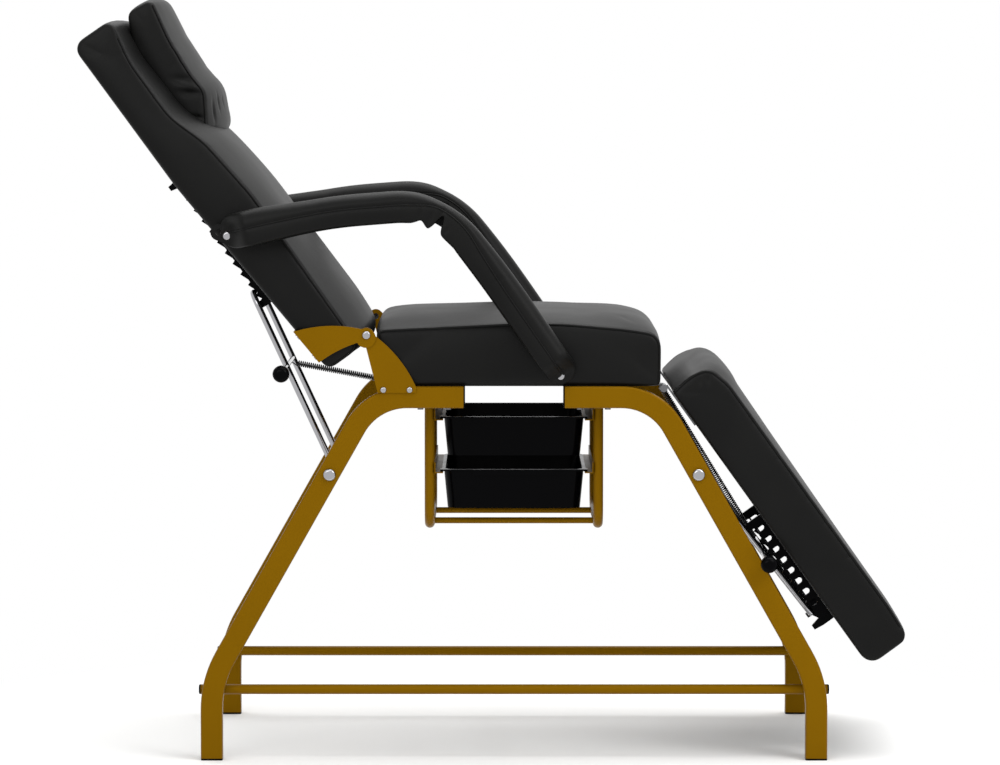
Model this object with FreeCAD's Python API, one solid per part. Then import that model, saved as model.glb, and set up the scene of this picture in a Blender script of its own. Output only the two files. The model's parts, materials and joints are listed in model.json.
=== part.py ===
import FreeCAD, Part
import math
import os

V = FreeCAD.Vector

# A salon chair with a bent-tube frame: a fixed seat, a backrest that lies back flat, a legrest that
# lifts level, two padded arms that follow the backrest and two trays that slide out under the seat.
# It is drawn with +X towards the feet of the person, +Y to the far side and +Z up, in millimetres.
# The frame is drawn about the middle of its four feet. At the end the whole chair is moved so that its
# origin is the bottom centre of its box.

# General fits
running_gap = 0.1      # radial clearance of a pin in the hole that turns on it
free_gap = 0.3         # space between two bodies that pass each other
cut_over = 5.0         # how far a cut runs past the face it opens
tiny = 0.001           # below this two lengths count as equal
dome_share = 0.7       # rounding of a domed head or knob, of its height or radius
half_share = 0.5

# Bent legs, cut from one rectangular tube
tube_width = 35.0      # seen from the side
tube_depth = 25.0      # across the chair
tube_wall = 2.0
tube_corner = 4.0
rail_proud = 0.5       # a leg's outer face beyond the side of the seat pad
foot_reach = 486.0     # foot middle from the middle of the frame
lower_bend_height = 127.0
lower_bend_radius = 170.0
upper_bend_reach = 227.0
upper_bend_radius = 95.0
rail_top = 602.5       # top of the level run that carries the seat
rail_end_reach = 81.0  # where the level run stops, from the middle of the frame
foot_cap_height = 3.0
end_cap_thickness = 2.5
cap_plug_depth = 18.0
cap_plug_gap = 0.15

# Stretchers near the floor and the cross tubes the bails turn on
stretcher_height = 111.0
stretcher_radius = 8.0
stretcher_overhang = 1.5  # bar past the outer side of each foot
stretcher_cap = 3.0
cap_edge_share = 0.9   # edges further out than this share of the cap are its rim
cross_drop = 141.5     # cross tubes below the top of the rails
cross_inset = 1.6      # cross tubes inside the middle line of the sloping leg
cross_radius = 11.0
bolt_radius = 5.0
bolt_head_radius = 10.0
bolt_head_height = 6.0
bolt_grip = 30.0       # how far a cross tube bolt enters the tube
screw_radius = 3.0
screw_head_radius = 4.8
screw_head_height = 3.0
screw_bite = 20.0      # how far a screw enters a board
rail_screw_steps = (24.0, 69.0)  # screws from the end of the level run
rail_screw_inset = 5.0  # screws sit this far inside the middle of the rail

# Seat
pad_width = 544.0
seat_rear = -221.0
seat_front = 235.0
seat_edge_height = 90.0
seat_crown = 26.0
board_thickness = 35.0
board_inset = 14.0     # board short of the pad at each end
board_side_inset = 10.5
side_draw = 4.0        # how far the middle of a side is drawn in
side_swell = 3.0       # how far a side swells between its bottom and its top seam
foot_tuck = 2.0        # how far the bottom edge of a pad is drawn under

# Backrest, drawn lying flat behind its pivot and then tipped up
recline_setback = 14.8  # pivot behind the rear of the seat
recline_rise = 82.5    # pivot above the rails
recline_angle = 54.0
back_length = 645.0
back_start = -8.0
back_plane = 107.0     # the back face below the pivot when the backrest lies flat
back_bend_s = 370.0    # along the backrest, where its back face starts to lean in towards the pivot
back_bend_rise = 24.0  # how far the back face has come in at the lower end
back_thickness = 88.0
back_crown = 28.0
heel_radius = 12.0     # rounding of the lower rear edge
head_thickness = 62.0

# Headrest cushion
pillow_start = 416.0
pillow_end = 641.0
pillow_width = 340.0
pillow_rise = 76.0     # top of its crown above the thin head part's edge
pillow_edge = 58.0

# Legrest, drawn level in front of its hinge and then tipped down
leg_hinge_lead = 6.0   # hinge axis ahead of the front of the seat
leg_hinge_drop = 6.5   # hinge axis below the top of the rails
leg_angle = 54.3
leg_length = 547.0
leg_start = 9.0
leg_plane = 8.0        # underside above the hinge axis when the legrest is level
leg_thickness = 77.0
leg_crown = 14.0
leg_board_thickness = 20.0

# Steel plates at the recline pivot
plate_thickness = 3.0
pivot_lug_radius = 12.0
pivot_head_radius = 6.5
pivot_head_height = 3.5
plate_drop = 10.0      # how far the seat bracket laps down over the rail
bracket_rear_inset = 3.0  # rear of the bracket's foot ahead of the rear of the seat
bracket_length = 61.0
bracket_bolt_insets = (9.0, 51.0)  # bolts from the rear of the bracket's foot
bracket_bolt_drop = 5.2
bracket_lug_turn = 257.0  # degrees round the lug from its front to where the rear edge starts
bracket_bulge = 7.0    # how far the bracket's front edge swells out of a straight line
fan_top_s = 73.0       # ends of the fan plate's rear edge, along the backrest
fan_low_s = 9.0
fan_throat_s = -1.3    # where the fan's low edge meets the round of its lug
fan_throat_h = 18.8
fan_low_hollow = 3.0   # how far the low edge is drawn in
fan_top_swell = 7.3    # how far the top edge swells out
fan_flange = 44.0      # flange of the fan plate, bent in behind the backrest
fan_screw_places = (20.0, 62.0)  # flange screws along the backrest
fan_screw_inset = 31.0  # flange screws from the outer face of the plate

# Bails that hold the backrest and the legrest
bail_length = 311.0
bail_half_width = 112.5
bail_rod_radius = 5.0
bail_bend = 22.0
sleeve_outer = 16.0
sleeve_length = 30.0
handle_place = 180.0
handle_radius = 4.0
handle_overhang = 13.5  # handle past the outer face of the near legs
knob_radius = 13.5
knob_length = 26.0
back_rack_stand = 12.6  # middle of the end bar behind the backrest's back face
leg_rack_stand = 28.5  # middle of the end bar under the legrest's underside

# Notched racks
rack_half_spacing = 80.0
rack_thickness = 6.0
notch_pitch = 21.5
back_notches = 10
leg_notches = 8
tooth_height = 5.6
tooth_lock = 2.2       # run of the steep flank
notch_lock_side = 4.0  # notch floor from the bar's middle to the steep flank
notch_ramp_side = 1.0  # notch floor from the bar's middle to the shallow ramp
rack_overrun = 19.0    # rack past the half pitch at each end
prong_reach = 11.0     # end prongs past the middle of the end bar
prong_root = 14.0
prong_tip = 8.0
prong_lean = 2.0       # tip of a prong inside the end of the rack
window_width = 10.0    # arched windows between the notches of the legrest's racks
window_height = 12.0
window_web = 3.0       # notch floor to window

# Arms
arm_side_gap = 3.2     # arm to the fan plate beside it
arm_width = 48.0
arm_height = 52.0
arm_corner = 15.0
arm_core_thickness = 6.0
arm_core_height = 26.0
arm_core_inset = 4.0
arm_pad_stop = 25.0    # pad stops this far from each pivot
arm_front_reach = 74.0  # corners of the arm's middle line: place along the chair, height above the rails
arm_front_rise = 18.5
arm_elbow_reach = -116.5
arm_elbow_rise = 293.7
arm_bow_reach = -300.0
arm_bow_rise = 279.5
arm_elbow_radius = 130.0
arm_bow_radius = 700.0
arm_back_s = 258.4     # rear pivot along the backrest
arm_back_h = 85.2
slot_rear = 14.5       # slot past the rear pivot, away from the elbow
slot_front = 8.5       # slot past the rear pivot, towards the elbow
slot_side_gap = 0.9    # the arm's even swing strays this little from the slot's line
shoulder_radius = 8.0

# Legrest hinges
hinge_beyond_flange = 35.0  # middle of a hinge outside the tray hanger's flange
knuckle_radius = 6.0
knuckle_length = 20.0
hinge_pin_radius = 3.5
hinge_leaf_thickness = 3.0
hinge_leaf_length = 78.0
hinge_pin_head = 2.0

# Tray rack
hanger_half_depth = 160.0
hanger_radius = 8.0
hanger_bend = 34.0
hanger_drop = 233.5    # middle of the lower bar below the top of the rails
flange_length = 44.0
flange_screw_share = 0.36  # screws from the middle of a flange, of its length
flange_head_share = 0.9    # head of a flange screw, of the other screws' heads
flange_width = 34.0
flange_thickness = 3.0
base_bar_radius = 5.0
base_bar_half_spacing = 85.0
runner_thickness = 1.5
runner_lip = 14.0
runner_wall = 16.0
runner_overhang = 10.0  # runner past the middle of each hanger post
tray_side_gap = 7.5    # tray to the wall of its runner
tray_drops = (57.5, 143.5)  # rims of the two trays below the top of the rails
tray_height = 64.0
tray_depth = 300.0
tray_top_width = 228.0
tray_taper = 6.0       # how much narrower each side is at the bottom
tray_wall = 2.5
tray_rim = 3.0
tray_rim_thickness = 3.0
tray_ear = 3.0         # the near rim is this much wider at each side
tray_ear_length = 22.0
tray_corner = 22.0
pull_width = 134.0     # finger pull on the near rim of a tray
pull_height = 9.5
pull_thickness = 2.5

# Coil springs
spring_radius = 4.4
spring_wire = 0.7
rear_turns = 38
front_turns = 58
spring_leg = 10.0      # straight run at each end of a spring
anchor_drop = 14.0
anchor_width = 16.0
anchor_thickness = 3.0
anchor_length = 40.0
anchor_hole_share = 0.6    # spring's end below the board, of the anchor's drop
rear_anchor_inset = 11.0   # rear anchor ahead of the rear of the seat
front_anchor_lead = 3.0    # front anchor ahead of the front of the seat

# Worked out from the sizes above
rail_mid = rail_top - tube_width / 2
pad_half = pad_width / 2
leg_outer = pad_half + rail_proud
leg_y = leg_outer - tube_depth / 2
leg_inner = leg_outer - tube_depth
stretcher_reach = foot_reach + tube_width / 2 + stretcher_overhang
cross_height = rail_top - cross_drop
slope_share = (cross_height - lower_bend_height) / (rail_mid - lower_bend_height)
cross_reach = foot_reach - (foot_reach - upper_bend_reach) * slope_share - cross_inset
rail_screw_reaches = [rail_end_reach + step for step in rail_screw_steps]
board_half = pad_half - board_side_inset
bracket_out = leg_outer + plate_thickness
fan_in = bracket_out + free_gap
fan_out = fan_in + plate_thickness
arm_inner = fan_out + arm_side_gap
arm_half_spacing = arm_inner + arm_width / 2
core_in = arm_inner + arm_core_inset
core_out = core_in + arm_core_thickness
recline_x = seat_rear - recline_setback
recline_z = rail_top + recline_rise
recline_at = V(recline_x, 0, recline_z)
leg_hinge_x = seat_front + leg_hinge_lead
leg_hinge_z = rail_top - leg_hinge_drop
leg_hinge_at = V(leg_hinge_x, 0, leg_hinge_z)
bracket_foot_rear = seat_rear + bracket_rear_inset
bracket_foot_front = bracket_foot_rear + bracket_length
bracket_bolt_places = [bracket_foot_rear + inset for inset in bracket_bolt_insets]
handle_near = leg_outer + handle_overhang
arm_front = V(arm_front_reach, 0, rail_top + arm_front_rise)
arm_elbow = V(arm_elbow_reach, 0, rail_top + arm_elbow_rise)
arm_bow = V(arm_bow_reach, 0, rail_top + arm_bow_rise)
hanger_reach = tray_top_width / 2 + tray_rim + tray_ear + tray_side_gap + runner_thickness + hanger_radius
hanger_floor = rail_top - hanger_drop
hinge_half_spacing = hanger_half_depth + flange_width / 2 + hinge_beyond_flange
runner_half = hanger_half_depth + runner_overhang
tray_rims = [rail_top - drop for drop in tray_drops]
rear_anchor_x = seat_rear + rear_anchor_inset
front_anchor_x = seat_front + front_anchor_lead
rear_cross_at = V(-cross_reach, 0, cross_height)
front_cross_at = V(cross_reach, 0, cross_height)
side_normal = V(0, 1, 0)

nodes = {}


# Small helpers

def box(x_low, x_high, y_low, y_high, z_low, z_high):
    return Part.makeBox(x_high - x_low, y_high - y_low, z_high - z_low, V(x_low, y_low, z_low))


def rod(start, end, radius):
    along = end - start
    return Part.makeCylinder(radius, along.Length, start, along)


def cross_rod(x, z, y_low, y_high, radius):
    return Part.makeCylinder(radius, y_high - y_low, V(x, y_low, z), side_normal)


def mirrored(shape):
    return shape.mirror(V(0, 0, 0), side_normal)


def both_sides(shape):
    return [shape, mirrored(shape)]


def tipped(shape, angle, at):
    turned = shape.copy()
    turned.rotate(V(0, 0, 0), side_normal, angle)
    turned.translate(at)
    return turned


def tipped_point(point, angle, at):
    return FreeCAD.Rotation(side_normal, angle).multVec(point) + at


def untipped_point(point, angle, at):
    return FreeCAD.Rotation(side_normal, -angle).multVec(point - at)


def bent_path(points, radii):
    # straight runs joined by tangent arcs, one radius for each inner point
    edges = []
    last = points[0]
    for place, radius in zip(range(1, len(points) - 1), radii):
        corner = points[place]
        back = (points[place - 1] - corner).normalize()
        ahead = (points[place + 1] - corner).normalize()
        half = back.getAngle(ahead) / 2
        reach = radius / math.tan(half)
        middle = (back + ahead).normalize()
        centre = corner + middle * (radius / math.sin(half))
        start = corner + back * reach
        stop = corner + ahead * reach
        edges.append(Part.LineSegment(last, start).toShape())
        edges.append(Part.Arc(start, centre - middle * radius, stop).toShape())
        last = stop
    edges.append(Part.LineSegment(last, points[-1]).toShape())
    return Part.Wire(edges)


def rounded_rectangle(half_a, half_b, corner):
    # in the XY plane, about zero
    bend = corner * (1 - math.sqrt(half_share))
    side_a = half_a - corner
    side_b = half_b - corner
    bend_a = half_a - bend
    bend_b = half_b - bend
    return Part.Wire([
        arc(V(half_a, side_b, 0), V(bend_a, bend_b, 0), V(side_a, half_b, 0)),
        line(V(side_a, half_b, 0), V(-side_a, half_b, 0)),
        arc(V(-side_a, half_b, 0), V(-bend_a, bend_b, 0), V(-half_a, side_b, 0)),
        line(V(-half_a, side_b, 0), V(-half_a, -side_b, 0)),
        arc(V(-half_a, -side_b, 0), V(-bend_a, -bend_b, 0), V(-side_a, -half_b, 0)),
        line(V(-side_a, -half_b, 0), V(side_a, -half_b, 0)),
        arc(V(side_a, -half_b, 0), V(bend_a, -bend_b, 0), V(half_a, -side_b, 0)),
        line(V(half_a, -side_b, 0), V(half_a, side_b, 0)),
    ])


def placed_section(wire, at, along):
    # the section's X lies across the chair, its Z along the path
    across = side_normal
    third = along.cross(across).normalize()
    turn = FreeCAD.Rotation(across, third, along, "ZXY")
    moved = wire.copy()
    moved.Placement = FreeCAD.Placement(at, turn)
    return moved


def swept(path, wire):
    start = path.OrderedEdges[0]
    at = start.valueAt(start.FirstParameter)
    along = start.tangentAt(start.FirstParameter)
    return path.makePipeShell([placed_section(wire, at, along)], True, False)


def round_bar(path, radius):
    start = path.OrderedEdges[0]
    at = start.valueAt(start.FirstParameter)
    along = start.tangentAt(start.FirstParameter)
    return path.makePipeShell([Part.Wire(Part.makeCircle(radius, at, along))], True, False)


def side_plate(edges, y_low, thickness):
    return Part.Face(Part.Wire(edges)).extrude(V(0, thickness, 0)).translate(V(0, y_low, 0))


def line(start, end):
    return Part.LineSegment(start, end).toShape()


def arc(start, middle, end):
    return Part.Arc(start, middle, end).toShape()


def swollen(start, end, swell):
    # an arc from start to end that stands out of the straight line by swell
    run = end - start
    out = run.cross(side_normal).normalize()
    return arc(start, start + run * half_share + out * swell, end)


def dome_bolt(x, z, y_face, head_radius, head_height, shank_radius, shank_length):
    # on the near side, head towards -Y with its seat on y_face
    head = Part.makeCylinder(head_radius, head_height, V(x, y_face, z), V(0, -1, 0))
    rim = [edge for edge in head.Edges if abs(edge.BoundBox.YMax - (y_face - head_height)) < tiny]
    head = head.makeFillet(head_height * dome_share, rim)
    shank = Part.makeCylinder(shank_radius, shank_length, V(x, y_face, z), side_normal)
    return head.fuse(shank).removeSplitter()


# Cushions: a loft through crowned sections, each with a flat foot, swelling sides and an arched top

def pad_section(x, base, half, height, crown, swell, tuck):
    low_near = V(x, -half + tuck, base)
    low_far = V(x, half - tuck, base)
    top_near = V(x, -half, base + height)
    top_far = V(x, half, base + height)
    mid_height = base + height / 2
    mid_half = half - tuck / 2 + swell
    return Part.Wire([
        line(low_near, low_far),
        arc(low_far, V(x, mid_half, mid_height), top_far),
        arc(top_far, V(x, 0, base + height + crown), top_near),
        arc(top_near, V(x, -mid_half, mid_height), low_near),
    ])


def crowned_pad(start, length, base, half, height, crown, table_shares):
    # each row: share along, share of the edge height, share of the crown, share of the side draw
    sections = []
    for along_share, height_share, crown_share, draw_share in table_shares:
        sections.append(pad_section(
            start + length * along_share, base, half - side_draw * draw_share - side_swell,
            height * height_share, crown * crown_share, side_swell, foot_tuck))
    return Part.makeLoft(sections, True, False)


seat_shares = (
    (0.0, 0.84, 0.40, 0.6),
    (0.03, 0.95, 0.62, 0.2),
    (0.11, 1.00, 0.82, 0.3),
    (0.27, 1.02, 0.96, 0.8),
    (0.5, 1.03, 1.00, 1.0),
    (0.73, 1.02, 0.96, 0.8),
    (0.89, 1.00, 0.82, 0.3),
    (0.97, 0.95, 0.62, 0.2),
    (1.0, 0.84, 0.40, 0.6),
)

leg_shares = (
    (0.0, 0.80, 0.40, 0.6),
    (0.03, 0.94, 0.65, 0.2),
    (0.11, 0.99, 0.85, 0.3),
    (0.27, 1.01, 0.98, 0.8),
    (0.5, 1.02, 1.00, 1.0),
    (0.73, 1.01, 0.98, 0.8),
    (0.89, 0.98, 0.80, 0.3),
    (0.97, 0.91, 0.58, 0.2),
    (1.0, 0.76, 0.35, 0.6),
)

head_share = head_thickness / back_thickness
back_shares = (
    (0.0, 0.78, 0.25, 0.8),
    (0.03, 0.94, 0.60, 0.3),
    (0.10, 0.99, 0.84, 0.4),
    (0.20, 1.00, 0.97, 0.7),
    (0.34, 1.01, 1.00, 1.0),
    (0.53, 1.00, 1.00, 0.8),
    (0.64, 0.90, 0.80, 0.7),
    (0.72, head_share + 0.02, 0.60, 0.6),
    (0.86, head_share, 0.55, 0.4),
    (0.97, head_share + 0.03, 0.45, 0.2),
    (1.0, head_share - 0.08, 0.25, 0.8),
)

pillow_shares = (
    (0.0, 0.58, 0.30, 0.8),
    (0.05, 0.86, 0.62, 0.3),
    (0.13, 0.99, 0.90, 0.2),
    (0.24, 1.03, 1.00, 0.6),
    (0.42, 1.00, 0.95, 1.0),
    (0.66, 1.07, 0.90, 0.9),
    (0.86, 1.19, 0.75, 0.4),
    (0.96, 1.24, 0.55, 0.2),
    (1.0, 1.10, 0.25, 0.8),
)


# Legs, caps, stretchers and cross tubes

def leg_path(side):
    return bent_path([
        V(side * foot_reach, 0, foot_cap_height),
        V(side * foot_reach, 0, lower_bend_height),
        V(side * upper_bend_reach, 0, rail_mid),
        V(side * rail_end_reach, 0, rail_mid),
    ], (lower_bend_radius, upper_bend_radius))


def rail_screw_rods(side, radius):
    rods = []
    for reach in rail_screw_reaches:
        foot = V(side * reach, -leg_y + rail_screw_inset, rail_top - tube_width - cut_over)
        rods.append(rod(foot, foot + V(0, 0, tube_width + 2 * cut_over), radius))
    return rods


def leg(side):
    path = leg_path(side)
    outer = swept(path, rounded_rectangle(tube_depth / 2, tube_width / 2, tube_corner))
    inner = swept(path, rounded_rectangle(
        tube_depth / 2 - tube_wall, tube_width / 2 - tube_wall, tube_corner - tube_wall))
    tube = outer.cut(inner)
    tube.translate(V(0, -leg_y, 0))
    bolt_way = cross_rod(side * cross_reach, cross_height, -leg_outer - cut_over, -leg_inner + cut_over,
                         bolt_radius + running_gap)
    tube = tube.cut(bolt_way)
    for hole in rail_screw_rods(side, screw_radius + running_gap):
        tube = tube.cut(hole)
    if side < 0:
        for place in bracket_bolt_places:
            tube = tube.cut(cross_rod(place, rail_top - bracket_bolt_drop, -leg_outer - cut_over,
                                      -leg_outer + tube_wall + cut_over, screw_radius + running_gap))
    return tube


def plug(thickness):
    head = Part.Face(rounded_rectangle(tube_depth / 2, tube_width / 2, tube_corner))
    inside = tube_wall + cap_plug_gap
    core = Part.Face(rounded_rectangle(
        tube_depth / 2 - inside, tube_width / 2 - inside, tube_corner - tube_wall))
    head = head.extrude(V(0, 0, thickness))
    core = core.extrude(V(0, 0, thickness + cap_plug_depth))
    return head.fuse(core).removeSplitter()


def frame_pieces():
    for side, name in ((-1, "rear"), (1, "front")):
        near = leg(side)
        nodes[name + "_leg_near"] = [near]
        nodes[name + "_leg_far"] = [mirrored(near)]
        tube = cross_rod(side * cross_reach, cross_height, -leg_inner, leg_inner, cross_radius)
        bore = cross_rod(side * cross_reach, cross_height, -leg_inner - cut_over, leg_inner + cut_over,
                         bolt_radius + running_gap)
        nodes[name + "_cross_tube"] = [tube.cut(bore)]
    caps = []
    ends = []
    bolts = []
    screws = []
    for side in (-1, 1):
        foot = plug(foot_cap_height)
        foot.rotate(V(0, 0, 0), V(0, 0, 1), 90)
        foot.translate(V(side * foot_reach, -leg_y, 0))
        caps += both_sides(foot)
        end = plug(end_cap_thickness)
        across = FreeCAD.Rotation(V(0, 1, 0), V(0, 0, 1), V(side, 0, 0), "ZXY")
        end_at = V(side * (rail_end_reach - end_cap_thickness), -leg_y, rail_mid)
        end.Placement = FreeCAD.Placement(end_at, across)
        ends += both_sides(end)
        bolts += both_sides(dome_bolt(side * cross_reach, cross_height, -leg_outer, bolt_head_radius,
                                      bolt_head_height, bolt_radius, tube_depth + bolt_grip))
        for reach in rail_screw_reaches:
            seat = V(side * reach, -leg_y + rail_screw_inset, rail_top - tube_width)
            head = rod(seat, seat - V(0, 0, screw_head_height), screw_head_radius)
            shank = rod(seat, seat + V(0, 0, tube_width + screw_bite), screw_radius)
            screws += both_sides(head.fuse(shank).removeSplitter())
    nodes["foot_caps"] = caps
    nodes["rail_end_caps"] = ends
    nodes["cross_tube_bolts"] = bolts
    nodes["rail_screws"] = screws
    y = leg_inner - stretcher_radius
    bar = rod(V(-stretcher_reach, -y, stretcher_height), V(stretcher_reach, -y, stretcher_height),
              stretcher_radius)
    nodes["stretcher_near"] = [bar]
    nodes["stretcher_far"] = [mirrored(bar)]
    stretcher_caps = []
    for side in (-1, 1):
        start = V(side * stretcher_reach, -y, stretcher_height)
        cap = Part.makeCylinder(stretcher_radius, stretcher_cap, start, V(side, 0, 0))
        rim_reach = stretcher_cap * cap_edge_share
        outer = [edge for edge in cap.Edges if abs(edge.CenterOfMass.x - start.x) > rim_reach]
        cap = cap.makeFillet(stretcher_cap * dome_share, outer)
        stretcher_caps += both_sides(cap)
    nodes["stretcher_end_caps"] = stretcher_caps


# Seat with its board, brackets and pivots

def seat_pieces():
    board = box(seat_rear + board_inset, seat_front - board_inset, -board_half, board_half,
                rail_top, rail_top + board_thickness)
    holes = []
    for side in (-1, 1):
        for hole in rail_screw_rods(side, screw_radius + running_gap):
            hole.translate(V(0, 0, screw_bite))
            holes += both_sides(hole)
    shoulder = cross_rod(arm_front.x, arm_front.z, -core_in, -board_half + screw_bite,
                         bolt_radius + running_gap)
    holes += both_sides(shoulder)
    for reach in (-hanger_reach, hanger_reach):
        for hole in hanger_screw_rods(reach, screw_radius + running_gap):
            holes += both_sides(hole)
    pocket = board.copy()
    for hole in holes:
        board = board.cut(hole)
    nodes["seat_board"] = [board]
    pad = crowned_pad(seat_rear, seat_front - seat_rear, rail_top, pad_half, seat_edge_height, seat_crown,
                      seat_shares)
    pad = pad.cut(pocket)
    sleeve = cross_rod(arm_front.x, arm_front.z, -core_in, -board_half, shoulder_radius + free_gap)
    for hole in both_sides(sleeve):
        pad = pad.cut(hole)
    nodes["seat_cushion"] = [pad]


def bracket_pieces():
    low = rail_top - plate_drop
    lug = V(recline_x, 0, recline_z)
    foot_rear = V(bracket_foot_rear, 0, low)
    foot_front = V(bracket_foot_front, 0, low)
    brow_front = V(bracket_foot_front, 0, rail_top)
    lug_front = lug + V(pivot_lug_radius, 0, 0)
    lug_rear = lug - V(pivot_lug_radius, 0, 0)
    turn = math.radians(bracket_lug_turn)
    lug_low = lug + V(math.cos(turn), 0, math.sin(turn)) * pivot_lug_radius
    plate = side_plate([
        line(foot_rear, foot_front),
        line(foot_front, brow_front),
        swollen(brow_front, lug_front, -bracket_bulge),
        arc(lug_front, lug_rear, lug_low),
        line(lug_low, foot_rear),
    ], -bracket_out, plate_thickness)
    plate = plate.cut(cross_rod(recline_x, recline_z, -bracket_out - cut_over, -leg_outer + cut_over,
                                bolt_radius + running_gap))
    bolts = []
    for place in bracket_bolt_places:
        z = rail_top - bracket_bolt_drop
        plate = plate.cut(cross_rod(place, z, -bracket_out - cut_over, -leg_outer + cut_over,
                                    screw_radius + running_gap))
        bolt = dome_bolt(place, z, -bracket_out, screw_head_radius, screw_head_height, screw_radius,
                         plate_thickness + tube_wall + screw_head_height)
        bolts += both_sides(bolt)
    nodes["seat_bracket_near"] = [plate]
    nodes["seat_bracket_far"] = [mirrored(plate)]
    nodes["bracket_bolts"] = bolts
    pin = dome_bolt(recline_x, recline_z, -fan_out - free_gap, pivot_head_radius, pivot_head_height,
                    bolt_radius, fan_out + free_gap - leg_outer)
    back_nut = cross_rod(recline_x, recline_z, -leg_outer, -pad_half - free_gap, bolt_radius)
    nodes["recline_pivot_bolts"] = both_sides(pin.fuse(back_nut).removeSplitter())


def shoulder_bolt(x, z):
    # a spacer from the board's edge to the arm, a pin through the arm and a domed head
    head = dome_bolt(x, z, -core_out - free_gap, pivot_head_radius, pivot_head_height, bolt_radius,
                     core_out + free_gap - board_half + screw_bite)
    spacer = cross_rod(x, z, -core_in + free_gap, -board_half, shoulder_radius)
    return head.fuse(spacer).removeSplitter()


# Backrest, drawn flat with its length along -X from the pivot

def back_place(s, h):
    return V(-s, 0, -h)


back_slope = back_bend_rise / (back_bend_s - back_start)
back_inward = V(-back_slope, 0, 1).normalize()  # square to the leaning part of the back face


def back_face(s):
    # how deep the back face lies below the pivot, at a place along the backrest
    return back_plane - back_slope * max(0, back_bend_s - s)


def end_bar(cross_at, angle, at, depth, way):
    # where the end bar of a bail lies in the rack under a pad, drawn flat; way is the side the bail leans to
    foot = untipped_point(cross_at, angle, at)
    rise = -depth - foot.z
    return V(foot.x + way * math.sqrt(bail_length ** 2 - rise ** 2), 0, -depth)


rear_bar = end_bar(rear_cross_at, recline_angle, recline_at, back_plane + back_rack_stand, -1)
front_bar = end_bar(front_cross_at, leg_angle, leg_hinge_at, leg_rack_stand - leg_plane, 1)


def arch(x, low, width, height):
    half = width / 2
    spring = low + height - half
    return [
        line(V(x - half, 0, low), V(x + half, 0, low)),
        line(V(x + half, 0, low), V(x + half, 0, spring)),
        arc(V(x + half, 0, spring), V(x, 0, low + height), V(x - half, 0, spring)),
        line(V(x - half, 0, spring), V(x - half, 0, low)),
    ]


def rack(bar, board, roof, notches, windows):
    # a comb under a board, drawn flat, with its first notch at the end bar and the rest towards -X
    top = bar.z + bail_rod_radius + free_gap
    foot = top - tooth_height
    tip = bar.z - prong_reach
    start = bar.x + notch_pitch / 2 + rack_overrun
    stop = bar.x - notch_pitch * (notches - half_share) - rack_overrun
    points = [
        V(start, 0, roof), V(start, 0, top), V(start - prong_lean, 0, tip),
        V(start - prong_lean - prong_tip, 0, tip), V(start - prong_root, 0, top),
    ]
    for place in range(notches):
        seat = bar.x - notch_pitch * place
        points.append(V(seat + notch_lock_side + tooth_lock, 0, foot))
        points.append(V(seat + notch_lock_side, 0, top))
        points.append(V(seat - notch_ramp_side, 0, top))
    points += [
        V(stop + prong_root, 0, top), V(stop + prong_lean + prong_tip, 0, tip),
        V(stop + prong_lean, 0, tip), V(stop, 0, top), V(stop, 0, roof), points[0],
    ]
    y_low = -rack_half_spacing - rack_thickness / 2
    comb = side_plate(Part.makePolygon(points).Edges, y_low, rack_thickness).cut(board)
    for place in range(windows):
        hole = arch(bar.x - notch_pitch * (place + half_share), top + window_web, window_width, window_height)
        comb = comb.cut(side_plate(hole, y_low - cut_over, rack_thickness + 2 * cut_over))
    return comb.removeSplitter()


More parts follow.
